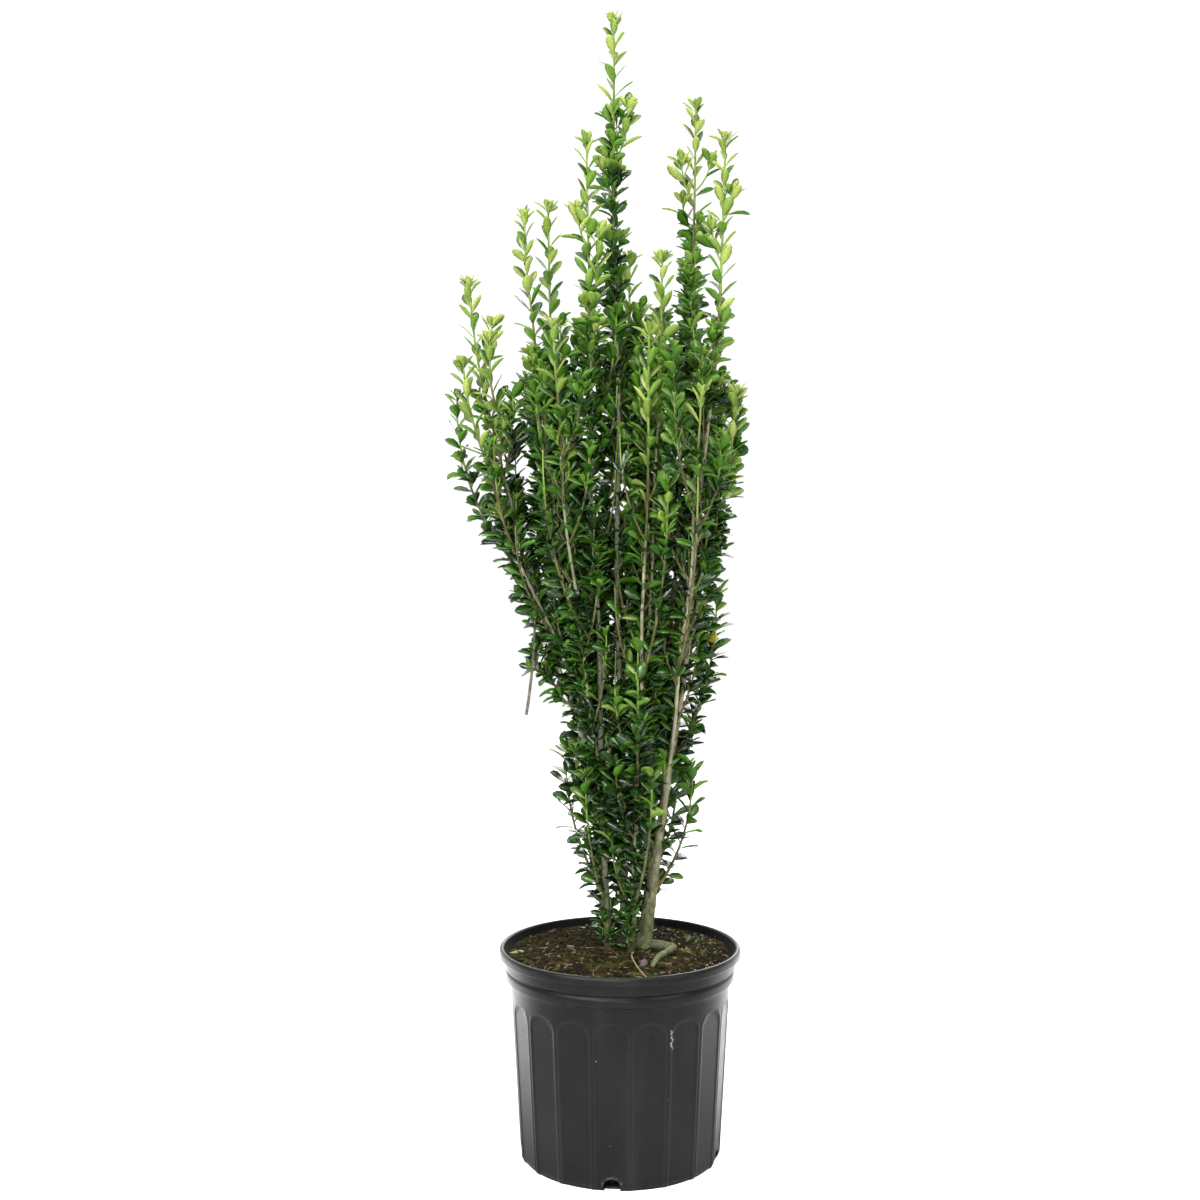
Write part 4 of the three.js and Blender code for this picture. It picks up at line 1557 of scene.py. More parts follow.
LIMBS = (
    LimbPlan("stem_right", (123, 0, 1186), 7.2, 225, (28, 12), tan=0.7, first_spur=62, swell=1.8, earthy=0.0),
    LimbPlan("stem_left", (-38, -25, 1178), 5.2, 190, (-13, 2), tan=0.15, first_spur=6, swell=-1.2),
    # stem_centre's negative tan paints its bark paler, as painted light on a cane in the crown's shade.
    LimbPlan("stem_centre", (-7, 20, 1330), 5.8, 125, (6, 30), tan=-0.7, brown=620),
    LimbPlan("stem_front", (32, -72, 955), 4.4, 180, (13, -14), tan=0.95, first_spur=5, swell=-0.9),
    LimbPlan("stem_back_right", (92, 62, 1238), 5.0, 150, (27, 42), tan=0.3, sparse=0.75, brown=620),
    LimbPlan("stem_back_left", (-85, 50, 1115), 5.0, 170, (-14, 32), tan=0.4),
    LimbPlan("bough_inner_right", (49, -18, 1044), 3.0, 130, parent="stem_front", fork=0.3, tan=0.8),
    LimbPlan("bough_front_right", (88, -98, 885), 3.2, 90, parent="stem_right", fork=0.2, tan=0.8),
    LimbPlan("bough_low_right", (134, -14, 892), 2.8, 120, parent="stem_right", fork=0.36, tan=0.6),
    LimbPlan("bough_front_left", (-75, -86, 960), 3.2, 110, parent="stem_left", fork=0.2, tan=0.85),
    LimbPlan("bough_low_left", (-181, -20, 922), 3.2, 130, parent="stem_left", fork=0.27, tan=0.7),
    LimbPlan("bough_far_left", (-177, 24, 1020), 3.4, 150, parent="stem_back_left", fork=0.26, tan=0.5),
    LimbPlan("bough_mid_left", (-111, 4, 1096), 2.9, 165, parent="stem_back_left", fork=0.4, tan=0.7),
    LimbPlan("bough_outer_left", (-150, -38, 950), 2.3, 95, parent="bough_far_left", fork=0.45, tan=0.6),
    LimbPlan("bough_upper_centre", (13, 62, 1056), 2.6, 120, parent="stem_centre", fork=0.48, tan=0.3),
    LimbPlan("bough_rear_middle", (28, 138, 1002), 3.2, 130, parent="stem_centre", fork=0.22, tan=0.5),
    LimbPlan("bough_rear_left", (-92, 128, 932), 3.0, 120, parent="stem_back_left", fork=0.2, tan=0.6),
    LimbPlan("bough_rear_right", (118, 122, 982), 3.2, 130, parent="stem_back_right", fork=0.22, tan=0.6),
)


@dataclass
class Limb:
    """A stem or bough with its path, taper and bark."""

    plan: LimbPlan
    parent: "Limb | None"
    seed: int
    stem_ease: float = 1.55
    bough_ease: float = 1.45
    tip_radius: float = 1.3
    taper: float = 0.66
    flare: Span = (0.4, 12.0)
    collar: Span = (0.5, 9.0)
    swell_height: float = 65.0
    slim: Span = (0.82, 150.0)
    sides: int = 12
    ring_step: float = 6.0
    node_step: float = 17.0
    node_height: float = 0.24
    bare_tip: float = 10.0
    sunk: float = 5.0
    twig_depth: float = 0.6

    def __post_init__(self) -> None:
        """Sets the limb's path from its plan."""
        dice = Dice(self.seed)
        self.is_stem = self.parent is None
        if self.is_stem:
            foot, ease = Vector((*self.plan.foot, GROUND_Z)), self.stem_ease
        else:
            foot, ease = self.parent.path.point(self.plan.fork), self.bough_ease
        sway = (dice.between(1.5, 3.0), dice.number(), dice.number())
        self.path = LeaningPath(foot, Vector(self.plan.tip), ease, sway)
        self.phase = TAU * dice.number()
        self.new_share = 1 - self.plan.new_growth / self.path.rise
        self.top_share = 1 - self.bare_tip / self.path.rise

    def radius_at(self, share: float) -> float:
        """The wood's radius, with its flare or collar.

        Args:
            share: Where, as a share of the rise.

        Returns:
            The radius.
        """
        size, height = self.flare if self.is_stem else self.collar
        above = max(share, 0.0) * self.path.rise
        extra = size * self.plan.radius * math.exp(-above / height)
        extra += self.plan.swell * math.exp(-above / self.swell_height)
        slimmest, slim_height = self.slim
        slim = lerp(1.0, slimmest, clamp(above / slim_height) if self.is_stem else 1.0)
        return slim * lerp(self.plan.radius, self.tip_radius, max(share, 0.0) ** self.taper) + extra

    def bark_spot(self, share: float, turn: float) -> Vector:
        """The point in the wood from which a twig or leaf grows, at a share of the rise and an angle."""
        root, axis = self.path.stance(share)
        return root + spoke_at(axis, turn) * self.twig_depth * self.radius_at(share)

    def node_lump(self, height: float, turn: float) -> float:
        """How far an old leaf scar lifts the bark.

        Args:
            height: Height on the limb.
            turn: Angle round it in radians.

        Returns:
            The lift as a share of the radius.
        """
        number = round(height / self.node_step)
        facing = 0.5 + 0.5 * math.cos(turn - number * GOLDEN_ANGLE - self.phase)
        return self.node_height * facing**3 * bump(height - number * self.node_step, 2.2)

    def growth_at(self, height: float) -> Triple:
        """How the bark looks at a height above the limb's foot.

        Args:
            height: The height.

        Returns:
            How new, how tan and how damp it is.
        """
        rise = self.path.rise
        beyond = (height / rise - self.new_share) * rise
        fresh = clamp(0.62 + beyond / (220 if beyond > 0 else self.plan.brown))
        if not self.is_stem:
            return fresh, self.plan.tan, 0.0
        fresh -= self.plan.earthy * math.exp(-height / 28)
        return fresh, self.plan.tan, clamp(1.25 * math.exp(-height / 95))

    def add_wood(self, bm: Draft) -> None:
        """Adds the limb's tube with its bark relief to a mesh.

        Args:
            bm: The mesh that it is added to.
        """
        straight, growth = (bm.verts.layers.float_vector[layer] for layer in Crown.BARK_LAYERS)
        rise, last = self.path.rise, self.top_share
        first = -self.sunk / rise if self.is_stem else 0.0
        rows = round((last - first) * rise / self.ring_step)
        for vertex, column, row in grid_points(bm, self.sides, rows):
            share = lerp(first, last, row / rows)
            turn = TAU * (column % self.sides) / self.sides
            height = share * rise
            axis = self.path.direction(max(share, 0.0))
            around = Vector((math.cos(turn), math.sin(turn), 0))
            rough = noise.noise(Vector((2.2 * around.x + 7 * self.phase, 2.2 * around.y, height / 26)))
            ridges = noise.noise(Vector((5 * around.x, 5 * around.y + 3 * self.phase, height / 60)))
            radius = self.radius_at(share)
            worn = clamp(radius / 3.0, 0.3, 1.0)
            radius *= 1 + worn * (0.09 * rough + 0.07 * ridges) + self.node_lump(height, turn)
            centre = self.path.point(max(share, 0.0))
            centre.z = self.path.foot.z + height
            vertex.co = centre + spoke_at(axis, turn) * radius
            unrolled = Vector((around.x * radius, around.y * radius, height)) * MM
            vertex[straight] = unrolled + Vector((self.phase, 0, 0))
            vertex[growth] = self.growth_at(height)


@dataclass(frozen=True)
class SurfaceRoot:
    """The root that leaves the right stem's foot, turns back and dives into the soil."""

    route: tuple[Span, ...] = ((31, 10), (49, 2), (62, -7), (55, -24), (43, -50), (35, -76))
    radius: float = 5.0
    taper: Span = (1.15, 0.55)
    sink: float = 4.0
    sides: int = 14
    steps: int = 5

    def add_wood(self, bm: Draft) -> None:
        """Adds the root's tube to a mesh.

        Args:
            bm: The mesh that it is added to.
        """
        straight, growth = (bm.verts.layers.float_vector[layer] for layer in Crown.BARK_LAYERS)
        level = GROUND_Z + 0.7 * self.radius
        bends = [Vector((x, y, level)) for x, y in self.route]
        bends[-1].z -= self.sink
        line = smooth_line(bends, self.steps)
        rows = len(line) - 1
        for vertex, column, row in grid_points(bm, self.sides, rows):
            turn = TAU * (column % self.sides) / self.sides
            heading = (line[min(row + 1, rows)] - line[max(row - 1, 0)]).normalized()
            across = heading.cross(UP).normalized()
            spoke = across * math.cos(turn) + UP * math.sin(turn)
            lump = noise.noise(Vector((2 * math.cos(turn), 2 * math.sin(turn), row / 3)))
            radius = self.radius * lerp(*self.taper, row / rows) * (1 + 0.22 * lump)
            vertex.co = line[row] + spoke * radius
            vertex[straight] = Vector((math.cos(turn) * radius, math.sin(turn) * radius, 8.0 * row)) * MM
            vertex[growth] = (0.0, 0.6, 1.0)


@dataclass(frozen=True)
class DeadTwig:
    """The snapped, leafless twig that hangs from a bough at the left."""

    limb: str = "bough_low_left"
    at: float = 0.36
    elbow: Triple = (-97, -34, 576)
    end: Triple = (-107, -38, 513)
    radius: float = 1.7
    taper: Span = (0.85, 1.05)
    sides: int = 9
    steps: int = 22

    def build(self, limbs: dict[str, Limb]) -> None:
        """Builds the twig on its bough.

        Args:
            limbs: All limbs by name.
        """
        start = limbs[self.limb].path.point(self.at)
        elbow, end = Vector(self.elbow), Vector(self.end)
        bm = bmesh.new()
        for vertex, column, row in grid_points(bm, self.sides, self.steps):
            share = row / self.steps
            turn = TAU * (column % self.sides) / self.sides
            before, after = start.lerp(elbow, share), elbow.lerp(end, share)
            axis = (before - after).normalized()
            rough = noise.noise(Vector((2 * math.cos(turn), 2 * math.sin(turn), row / 1.7)))
            snapped = 1.6 * noise.noise(Vector((turn, 3.0, 1.0))) if row == self.steps else 0.0
            radius = self.radius * lerp(*self.taper, share) * (1 + 0.2 * rough)
            vertex.co = before.lerp(after, share) + spoke_at(axis, turn) * radius + axis * snapped
        finish = GrainFinish("dead wood", (0.215, 0.180, 0.140), 150.0, 0.9, 0.9, 0.9, 700.0)
        stick = finished("dead_stick", closed_mesh(bm, "dead_stick"), finish.material())
        settle(stick, "dead_wood", "dead_twig")


# Foliage


@dataclass(frozen=True)
class Zone:
    """How spurs and their leaves grow in one stretch of height."""

    top_z: float
    spacing: float
    spur: Span
    steep: Span
    step: float
    leaf: Span
    tilt: Span
    bend: Span
    tints: dict[Tint, float]


LOW_ZONE = Zone(
    top_z=480, spacing=12.0, spur=(6, 18), steep=(0.60, 1.00),
    step=5.0, leaf=(22, 29), tilt=(0.50, 1.20), bend=(0.0, 1.0),
    tints={Tint.DARK: 0.40, Tint.DEEP: 0.40, Tint.MID: 0.20},
)
MIDDLE_ZONE = Zone(
    top_z=800, spacing=8.3, spur=(7, 21), steep=(0.50, 0.90),
    step=4.3, leaf=(18.5, 25), tilt=(0.45, 1.15), bend=(0.0, 1.0),
    tints={Tint.DARK: 0.24, Tint.DEEP: 0.43, Tint.MID: 0.33},
)
UPPER_ZONE = Zone(
    top_z=2000, spacing=4.3, spur=(6, 20), steep=(0.45, 0.80),
    step=3.6, leaf=(17, 22.5), tilt=(0.40, 1.0), bend=(-0.2, 0.7),
    tints={Tint.DARK: 0.16, Tint.DEEP: 0.38, Tint.MID: 0.32, Tint.FRESH: 0.14},
)
NEW_TINTS = {Tint.LIME: 0.42, Tint.YOUNG: 0.58}
TURNING_TINTS = {Tint.YOUNG: 0.25, Tint.FRESH: 0.42, Tint.MID: 0.33}
FRESH_TINTS = {Tint.FRESH: 0.5, Tint.MID: 0.5}
# A spray's own tint, and now and then the next lighter or darker one.
NEIGHBOURS = {
    Tint.LIME: {Tint.LIME: 0.72, Tint.YOUNG: 0.28},
    Tint.YOUNG: {Tint.YOUNG: 0.70, Tint.FRESH: 0.18, Tint.LIME: 0.12},
    Tint.FRESH: {Tint.FRESH: 0.66, Tint.MID: 0.22, Tint.YOUNG: 0.12},
    Tint.MID: {Tint.MID: 0.66, Tint.DEEP: 0.20, Tint.FRESH: 0.14},
    Tint.DEEP: {Tint.DEEP: 0.66, Tint.DARK: 0.18, Tint.MID: 0.16},
    Tint.DARK: {Tint.DARK: 0.78, Tint.DEEP: 0.17, Tint.MID: 0.05},
}
# Where the solids' side shoots leave each limb, as shares of its rise.
SIDE_SHOOTS = {
    "stem_right": (0.06, 0.22, 0.44),
    "stem_left": (0.05, 0.19, 0.40),
    "stem_centre": (0.08, 0.28, 0.50),
    "stem_front": (0.07, 0.24, 0.44),
    "stem_back_right": (0.06, 0.25, 0.45),
    "stem_back_left": (0.07, 0.23, 0.48),
    "bough_front_right": (0.30,),
    "bough_front_left": (0.35,),
    "bough_far_left": (0.35,),
}
# Shoots at the left edge: where they leave their bough and how far they reach.
EDGE_SHOOTS = (
    ("bough_low_left", 0.02, (-54.0, -10.0, 74.0)),
    ("bough_low_left", 0.08, (-57.0, -15.0, 64.0)),
)
# Young side shoots on the spires: where they leave and how far they reach to the right, back and up.
LATERALS = {
    "stem_centre": ((0.835, (17.0, -5.0, 76.0)), (0.80, (-13.0, 7.0, 46.0))),
    "stem_left": ((0.77, (9.0, -9.0, 116.0)), (0.86, (-13.0, 4.0, 50.0))),
    "stem_back_right": ((0.875, (-16.0, -6.0, 54.0)), (0.89, (18.0, -4.0, 40.0)), (0.84, (-13.0, 9.0, 44.0))),
    "stem_right": ((0.89, (11.0, 3.0, 38.0)), (0.84, (-10.0, 9.0, 46.0))),
    "bough_far_left": ((0.80, (15.0, -10.0, 60.0)),),
    "bough_rear_middle": ((0.84, (-14.0, 4.0, 60.0)),),
}
# How high the closed body of the crown reaches from left to right, below its open spires.
BODY_TOP = ((-180.0, 865.0), (-75.0, 980.0), (20.0, 1000.0), (95.0, 1035.0), (140.0, 915.0))
# Where a cane shows bare from the front: from which height to which, and how wide beside it.
BARE_CANES = (
    ("stem_right", 236.0, 860.0, 6.5),
    ("stem_centre", 545.0, 820.0, 9.0),
    ("stem_centre", 820.0, 945.0, 5.0),
    ("stem_left", 285.0, 345.0, 2.0),
    ("stem_left", 470.0, 650.0, 4.0),
    ("stem_front", 545.0, 770.0, 6.5),
    ("bough_inner_right", 560.0, 850.0, 3.0),
    ("stem_back_right", 566.0, 850.0, 4.0),
    ("stem_back_right", 1057.0, 1165.0, 4.0),
    ("bough_front_left", 650.0, 850.0, 6.0),
    ("bough_low_left", 610.0, 780.0, 3.5),
    ("bough_far_left", 640.0, 860.0, 3.5),
    ("bough_mid_left", 640.0, 860.0, 3.5),
)
# How high leaves cover the front of a limb from its foot.
COVERED_TO = {
    "stem_left": 470.0,
    "stem_front": 545.0,
    "stem_centre": 272.0,
    "stem_back_right": 272.0,
    "stem_back_left": 272.0,
    "bough_front_left": 645.0,
    "bough_low_left": 605.0,
}


@dataclass(frozen=True)
class Spray:
    """What the leaves of one spray have in common."""

    tint: Tint
    bend: Span
    dice: Dice
    width: Span = (1.12, 1.42)
    roll: float = 0.75


@dataclass(frozen=True)
class ShootKind:
    """How long, thick and wide a kind of side shoot is, and how often it ends in fresh leaves."""

    length: Span
    reach: float
    radius: float
    fresh: float
    inward: bool


MAIN_SHOOT = ShootKind((190.0, 235.0), 32.0, 1.9, 1.0, inward=False)
FINE_SHOOT = ShootKind((90.0, 150.0), 34.0, 1.3, 0.3, inward=True)


@dataclass
class Crown:
    """All stems, boughs, twigs and leaves, grown by the solids' own rule to finer twigs."""

    soil: SoilBed
    shoot_ease: float = 2.4
    shoot_step: float = 60.0
    shoot_end: float = 0.97
    shoot_leaf_step: Span = (4.9, 7.2)
    shoot_spurs: float = 0.4
    directions: int = 16
    low_shoot_z: float = 330.0
    fine_every: float = 43.0
    axis: Span = (0.0, 20.0)
    leaf_step: float = 7.2
    single_leaves: float = 0.4
    foot_height: float = 120.0
    foot_sparse: float = 1.05
    turning_length: float = 70.0
    cover_step: float = 11.0
    fold: Span = (0.08, 0.42)
    twist: Span = (-0.35, 0.35)
    low_shoot_size: Span = (0.78, 300.0)
    low_leaf_size: Span = (0.64, 170.0)
    bare_chance: float = 0.92
    yellow_leaf_z: float = 588.0
    leaves_a_piece: int = 6000
    slack: float = 7.0
    rim_clear: float = 262.0
    soil_clear: Span = (118.0, 4.0)
    eye: Triple = (-23.0, -1950.0, 752.0)
    limbs: dict[str, Limb] = field(default_factory=dict)

    BARK_LAYERS = ("straight", "growth")

    def __post_init__(self) -> None:
        """Plans all limbs and starts with no leaf or twig."""
        for number, plan in enumerate(LIMBS):
            self.limbs[plan.name] = Limb(plan, self.limbs.get(plan.parent), SEED + 100 + number)
        self.leaves = {tint: LeafBed() for tint in Tint}
        self.twigs = {kind: TubeBed() for kind in TwigKind}
        self.low, self.high = (corner / MM for corner in CAD_BOX)

    @staticmethod
    def size_at(z: float, low_size: Span) -> float:
        """How small shoots or leaves are at a height, from their least size at the soil."""
        smallest, height = low_size
        return lerp(smallest, 1.0, clamp((z - GROUND_Z) / height))

    @staticmethod
    def zone_at(z: float) -> Zone:
        """The zone that a height is in."""
        return next(zone for zone in (LOW_ZONE, MIDDLE_ZONE, UPPER_ZONE) if z < zone.top_z)

    def is_free(self, point: Vector) -> bool:
        """Whether a leaf's tip is inside the crown's reach and above the soil.

        Args:
            point: The tip.

        Returns:
            Whether the leaf may be there.
        """
        slack = self.slack
        if not all(low - slack < part < high + slack for low, part, high in zip(self.low, point, self.high)):
            return False
        reach, gap = self.soil_clear
        above_soil = point.xy.length < reach and point.z > self.soil.height(point.x, point.y) + gap
        return point.z > self.rim_clear or above_soil

    def hides_cane(self, point: Vector, dice: Dice) -> bool:
        """Whether a leaf there would cover one of the canes that show bare from the front.

        Args:
            point: The middle of the leaf.
            dice: The random stream that leaves some of them.

        Returns:
            Whether the leaf is left out.
        """
        eye_x, eye_y, _ = self.eye
        for name, low, high, margin in BARE_CANES:
            limb = self.limbs[name]
            if not low < point.z < high or point.z < limb.path.foot.z:
                continue
            share = limb.path.share_at(point.z)
            cane = limb.path.point(share)
            if point.y > cane.y:
                continue
            spread = (cane.y - eye_y) / (point.y - eye_y)
            if abs(lerp(eye_x, point.x, spread) - cane.x) < limb.radius_at(share) + margin:
                return dice.number() < self.bare_chance
        return False

    def add_leaf(
        self, root: Vector, axis: Vector, turn: float, tilt: float, length: float, spray: Spray
    ) -> None:
        """Sets one leaf on a shoot.

        Args:
            root: Where it leaves the shoot.
            axis: The shoot's direction there.
            turn: Its angle round the shoot.
            tilt: Its angle from the shoot.
            length: Its length.
            spray: What it shares with its spray.
        """
        dice = spray.dice
        tint = dice.pick(NEIGHBOURS[spray.tint])
        spoke = spoke_at(axis, turn)
        along = slanted(spoke, axis, tilt)
        roll = Matrix.Rotation(dice.between(-spray.roll, spray.roll), 3, along)
        side = roll @ axis.cross(spoke).normalized()
        bend = dice.between(*spray.bend)
        width, fold, twist = (dice.between(*span) for span in (spray.width, self.fold, self.twist))
        tip = root + along * length * 0.95 + along.cross(side) * (-0.5 * bend * length)
        if self.is_free(tip) and not self.hides_cane(root + along * 0.5 * length, dice):
            self.leaves[tint].lay(root, along, side, (length, width, fold, bend, twist))

    def add_rosette(self, root: Vector, axis: Vector, length: float, count: int, spray: Spray) -> None:
        """Sets a tuft of small narrow leaves on the end of a shoot.

        Args:
            root: The shoot's end.
            axis: The shoot's direction.
            length: The outer leaves' length.
            count: How many leaves it has.
            spray: What its leaves share.
        """
        dice = spray.dice
        narrow = replace(spray, width=tuple(0.8 * limit for limit in spray.width))
        turn = TAU * dice.number()
        for i in range(count):
            share = i / max(count - 1, 1)
            turn += GOLDEN_ANGLE
            tilt = lerp(0.95, 0.15, share) + dice.between(-0.15, 0.15)
            size = length * lerp(1.0, 0.5, share)
            self.add_leaf(root - axis * (1 - share) * 5, axis, turn, tilt, size, narrow)

    def add_spur(
        self, root: Vector, axis: Vector, turn: float, length: float, zone: Zone, spray: Spray
    ) -> None:
        """Sets a short leafy twig on a shoot.

        Args:
            root: Where it leaves the shoot.
            axis: The shoot's direction there.
            turn: Its angle round the shoot.
            length: Its length.
            zone: The rule for its leaves.
            spray: What its leaves share.
        """
        dice = spray.dice
        spoke = spoke_at(axis, turn)
        out = slanted(spoke, axis, dice.between(*zone.steep))
        rising = slanted(spoke, axis, 0.2)
        elbow = root + out * length * 0.5
        end = elbow + rising * length * 0.5
        if not self.is_free(end):
            return
        line = [root, root.lerp(elbow, 0.6), elbow.lerp(end, 0.2), end]
        is_new = spray.tint in (Tint.LIME, Tint.YOUNG, Tint.FRESH)
        self.twigs[TwigKind.GREEN if is_new else TwigKind.BROWN].lay(line, 1.05, 0.7)
        count = max(1, round(length / zone.step))
        scale = self.size_at(root.z, self.low_leaf_size)
        for i in range(count):
            share = lerp(0.1, 0.95, (i + 0.5) / count)
            spot = root.lerp(elbow, share * 2) if share < 0.5 else elbow.lerp(end, share * 2 - 1)
            heading = out.lerp(rising, share).normalized()
            size = dice.between(*zone.leaf) * scale
            self.add_leaf(spot, heading, turn + (i + 1) * GOLDEN_ANGLE, dice.between(*zone.tilt), size, spray)
        self.add_rosette(end, rising, 0.9 * zone.leaf[1] * scale, dice.pick({4: 0.5, 5: 0.5}), spray)

    def grow_old(self, limb: Limb, seed: int) -> None:
        """Sets spurs on a limb from its foot to its new growth.

        Args:
            limb: The limb.
            seed: Its own random stream.
        """
        dice = Dice(seed)
        old = limb.new_share * limb.path.rise
        height = limb.plan.first_spur
        turn = TAU * dice.number()
        while height < old:
            share = height / limb.path.rise
            root, axis = limb.path.stance(share)
            zone = self.zone_at(root.z)
            turn += GOLDEN_ANGLE + dice.between(-0.25, 0.25)
            sparse = self.foot_sparse if height < self.foot_height and limb.is_stem else 1.0
            height += zone.spacing * limb.plan.sparse * dice.between(0.7, 1.3) * sparse
            near_new = old - height < self.turning_length
            spray = Spray(dice.pick(TURNING_TINTS if near_new else zone.tints), zone.bend, dice)
            spot = limb.bark_spot(share, turn)
            scale = self.size_at(root.z, self.low_leaf_size)
            if dice.number() < self.single_leaves:
                tilt = dice.between(0.6, 1.3)
                self.add_leaf(spot, axis, turn, tilt, dice.between(*zone.leaf) * scale, spray)
            else:
                self.add_spur(spot, axis, turn, dice.between(*zone.spur) * scale, zone, spray)

    def cover_front(self, limb: Limb, top_z: float, seed: int) -> None:
        """Sets leafy spurs on the front of a limb from its foot upwards.

        Args:
            limb: The limb.
            top_z: How high they go.
            seed: Its own random stream.
        """
        dice = Dice(seed)
        for i in range(round((top_z - limb.path.foot.z) / self.cover_step)):
            share = (0.5 + i) * self.cover_step / limb.path.rise
            root, axis = limb.path.stance(share)
            zone = self.zone_at(root.z)
            turn = -math.pi / 2 + dice.between(-1.2, 1.2)
            spray = Spray(dice.pick(zone.tints), zone.bend, dice, (1.3, 1.6))
            self.add_spur(limb.bark_spot(share, turn), axis, turn, dice.between(4, 9), zone, spray)

    def grow_new(self, limb: Limb, seed: int) -> None:
        """Sets the season's open leaves, side shoots and end tuft on a limb.

        Args:
            limb: The limb.
            seed: Its own random stream.
        """
        dice = Dice(seed)
        self.set_open_leaves(limb.path, limb.new_share, limb.top_share, dice)
        for at, reach in LATERALS.get(limb.plan.name, ()):
            foot = limb.path.point(at)
            path = LeaningPath(foot, foot + Vector(reach), self.shoot_ease)
            self.twigs[TwigKind.GREEN].lay(path.line(0, 0.9, 7), 1.3, 0.8)
            self.set_open_leaves(path, 0.12, 0.9, dice)

    def set_open_leaves(self, path: LeaningPath, first: float, last: float, dice: Dice) -> None:
        """Sets open leaves along a new shoot and a tuft on its end.

        Args:
            path: The shoot's path.
            first: Where its leaves start, as a share of the path.
            last: Where it ends.
            dice: Its random stream.
        """
        count = round((last - first) * path.rise / self.leaf_step)
        turn = TAU * dice.number()
        for i in range(count):
            along = i / count
            turn += GOLDEN_ANGLE + dice.between(-0.3, 0.3)
            tint = dice.pick(NEW_TINTS if dice.number() < along + 0.2 else TURNING_TINTS)
            length = dice.between(26, 32) * lerp(1.0, 0.72, along**2)
            tilt = lerp(0.85, 0.45, along) + dice.between(-0.12, 0.12)
            spray = Spray(tint, (-0.2, 0.6), dice, (0.92, 1.18), 0.5)
            self.add_leaf(*path.stance(lerp(first, last, (i + 0.5) / count)), turn, tilt, length, spray)
        self.add_rosette(*path.stance(last), 23, 8, Spray(Tint.LIME, (-0.1, 0.5), dice, (1.05, 1.3)))

    def side_shoot(self, limb: Limb, at: float, taken: TakenRoom, dice: Dice, kind: ShootKind) -> LeaningPath:
        """The path of a shoot that leaves bare wood on the side with the most room.

        Args:
            limb: The limb that it leaves.
            at: Where, as a share of the limb's rise.
            taken: Lines that it keeps away from.
            dice: The random stream that all shoots of its kind share.
            kind: Its kind.

        Returns:
            The shoot's path.
        """
        foot = limb.path.point(at)
        scale = self.size_at(foot.z, self.low_shoot_size)
        length = dice.between(*kind.length) * scale
        above = limb.path.point(min(1, at + length / limb.path.rise))
        above.z = foot.z + length
        outward = (above.xy - Vector(self.axis)).normalized()
        first = dice.number()
        steps = max(3, round(length / self.shoot_step))
        turns = [TAU * (i + first) / self.directions for i in range(self.directions)]
        spokes = [Vector((math.cos(turn), math.sin(turn), 0)) for turn in turns]
        if kind.inward:
            spokes = [spoke for spoke in spokes if spoke.xy.dot(outward) <= 0]
        tips = [above + scale * kind.reach * spoke for spoke in spokes]
        paths = [LeaningPath(foot, tip, self.shoot_ease) for tip in tips]
        return max(paths, key=lambda path: taken.clearance(path.line(0, 1, steps)[1:]))

    def grow_side_shoots(self) -> None:
        """Sets the leafy side shoots that the solids have, with spurs and leaves all along."""
        dice = Dice(SEED)
        taken = TakenRoom()
        for limb in self.limbs.values():
            taken.add(limb.path.line(0, 1, 12))
        number = SEED + 300
        for name, shares in SIDE_SHOOTS.items():
            for at in shares:
                path = self.side_shoot(self.limbs[name], at, taken, dice, MAIN_SHOOT)
                taken.add(path.line(0, 1, max(3, round(path.rise / self.shoot_step))))
                number += 1
                self.grow_shoot(path, number, MAIN_SHOOT)
        for name, at, reach in EDGE_SHOOTS:
            foot = self.limbs[name].path.point(at)
            number += 1
            self.grow_shoot(LeaningPath(foot, foot + Vector(reach), self.shoot_ease), number, FINE_SHOOT)
        self.grow_fine_shoots(taken)

    def grow_fine_shoots(self, taken: TakenRoom) -> None:
        """Sets finer shoots by the same rule in the room that is left below the open spires.

        Args:
            taken: The lines of all limbs and shoots so far.
        """
        dice = Dice(SEED + 290)
        number = SEED + 900
        sides, tops = zip(*BODY_TOP)
        for limb in self.limbs.values():
            height = 50.0 if limb.is_stem else 70.0
            while height < limb.new_share * limb.path.rise:
                path = self.side_shoot(limb, height / limb.path.rise, taken, dice, FINE_SHOOT)
                height += self.fine_every * dice.between(0.8, 1.2)
                if path.tip.z > np.interp(path.tip.x, sides, tops) + dice.between(-40, 0):
                    continue
                taken.add(path.line(0, 1, 3))
                number += 1
                self.grow_shoot(path, number, FINE_SHOOT)

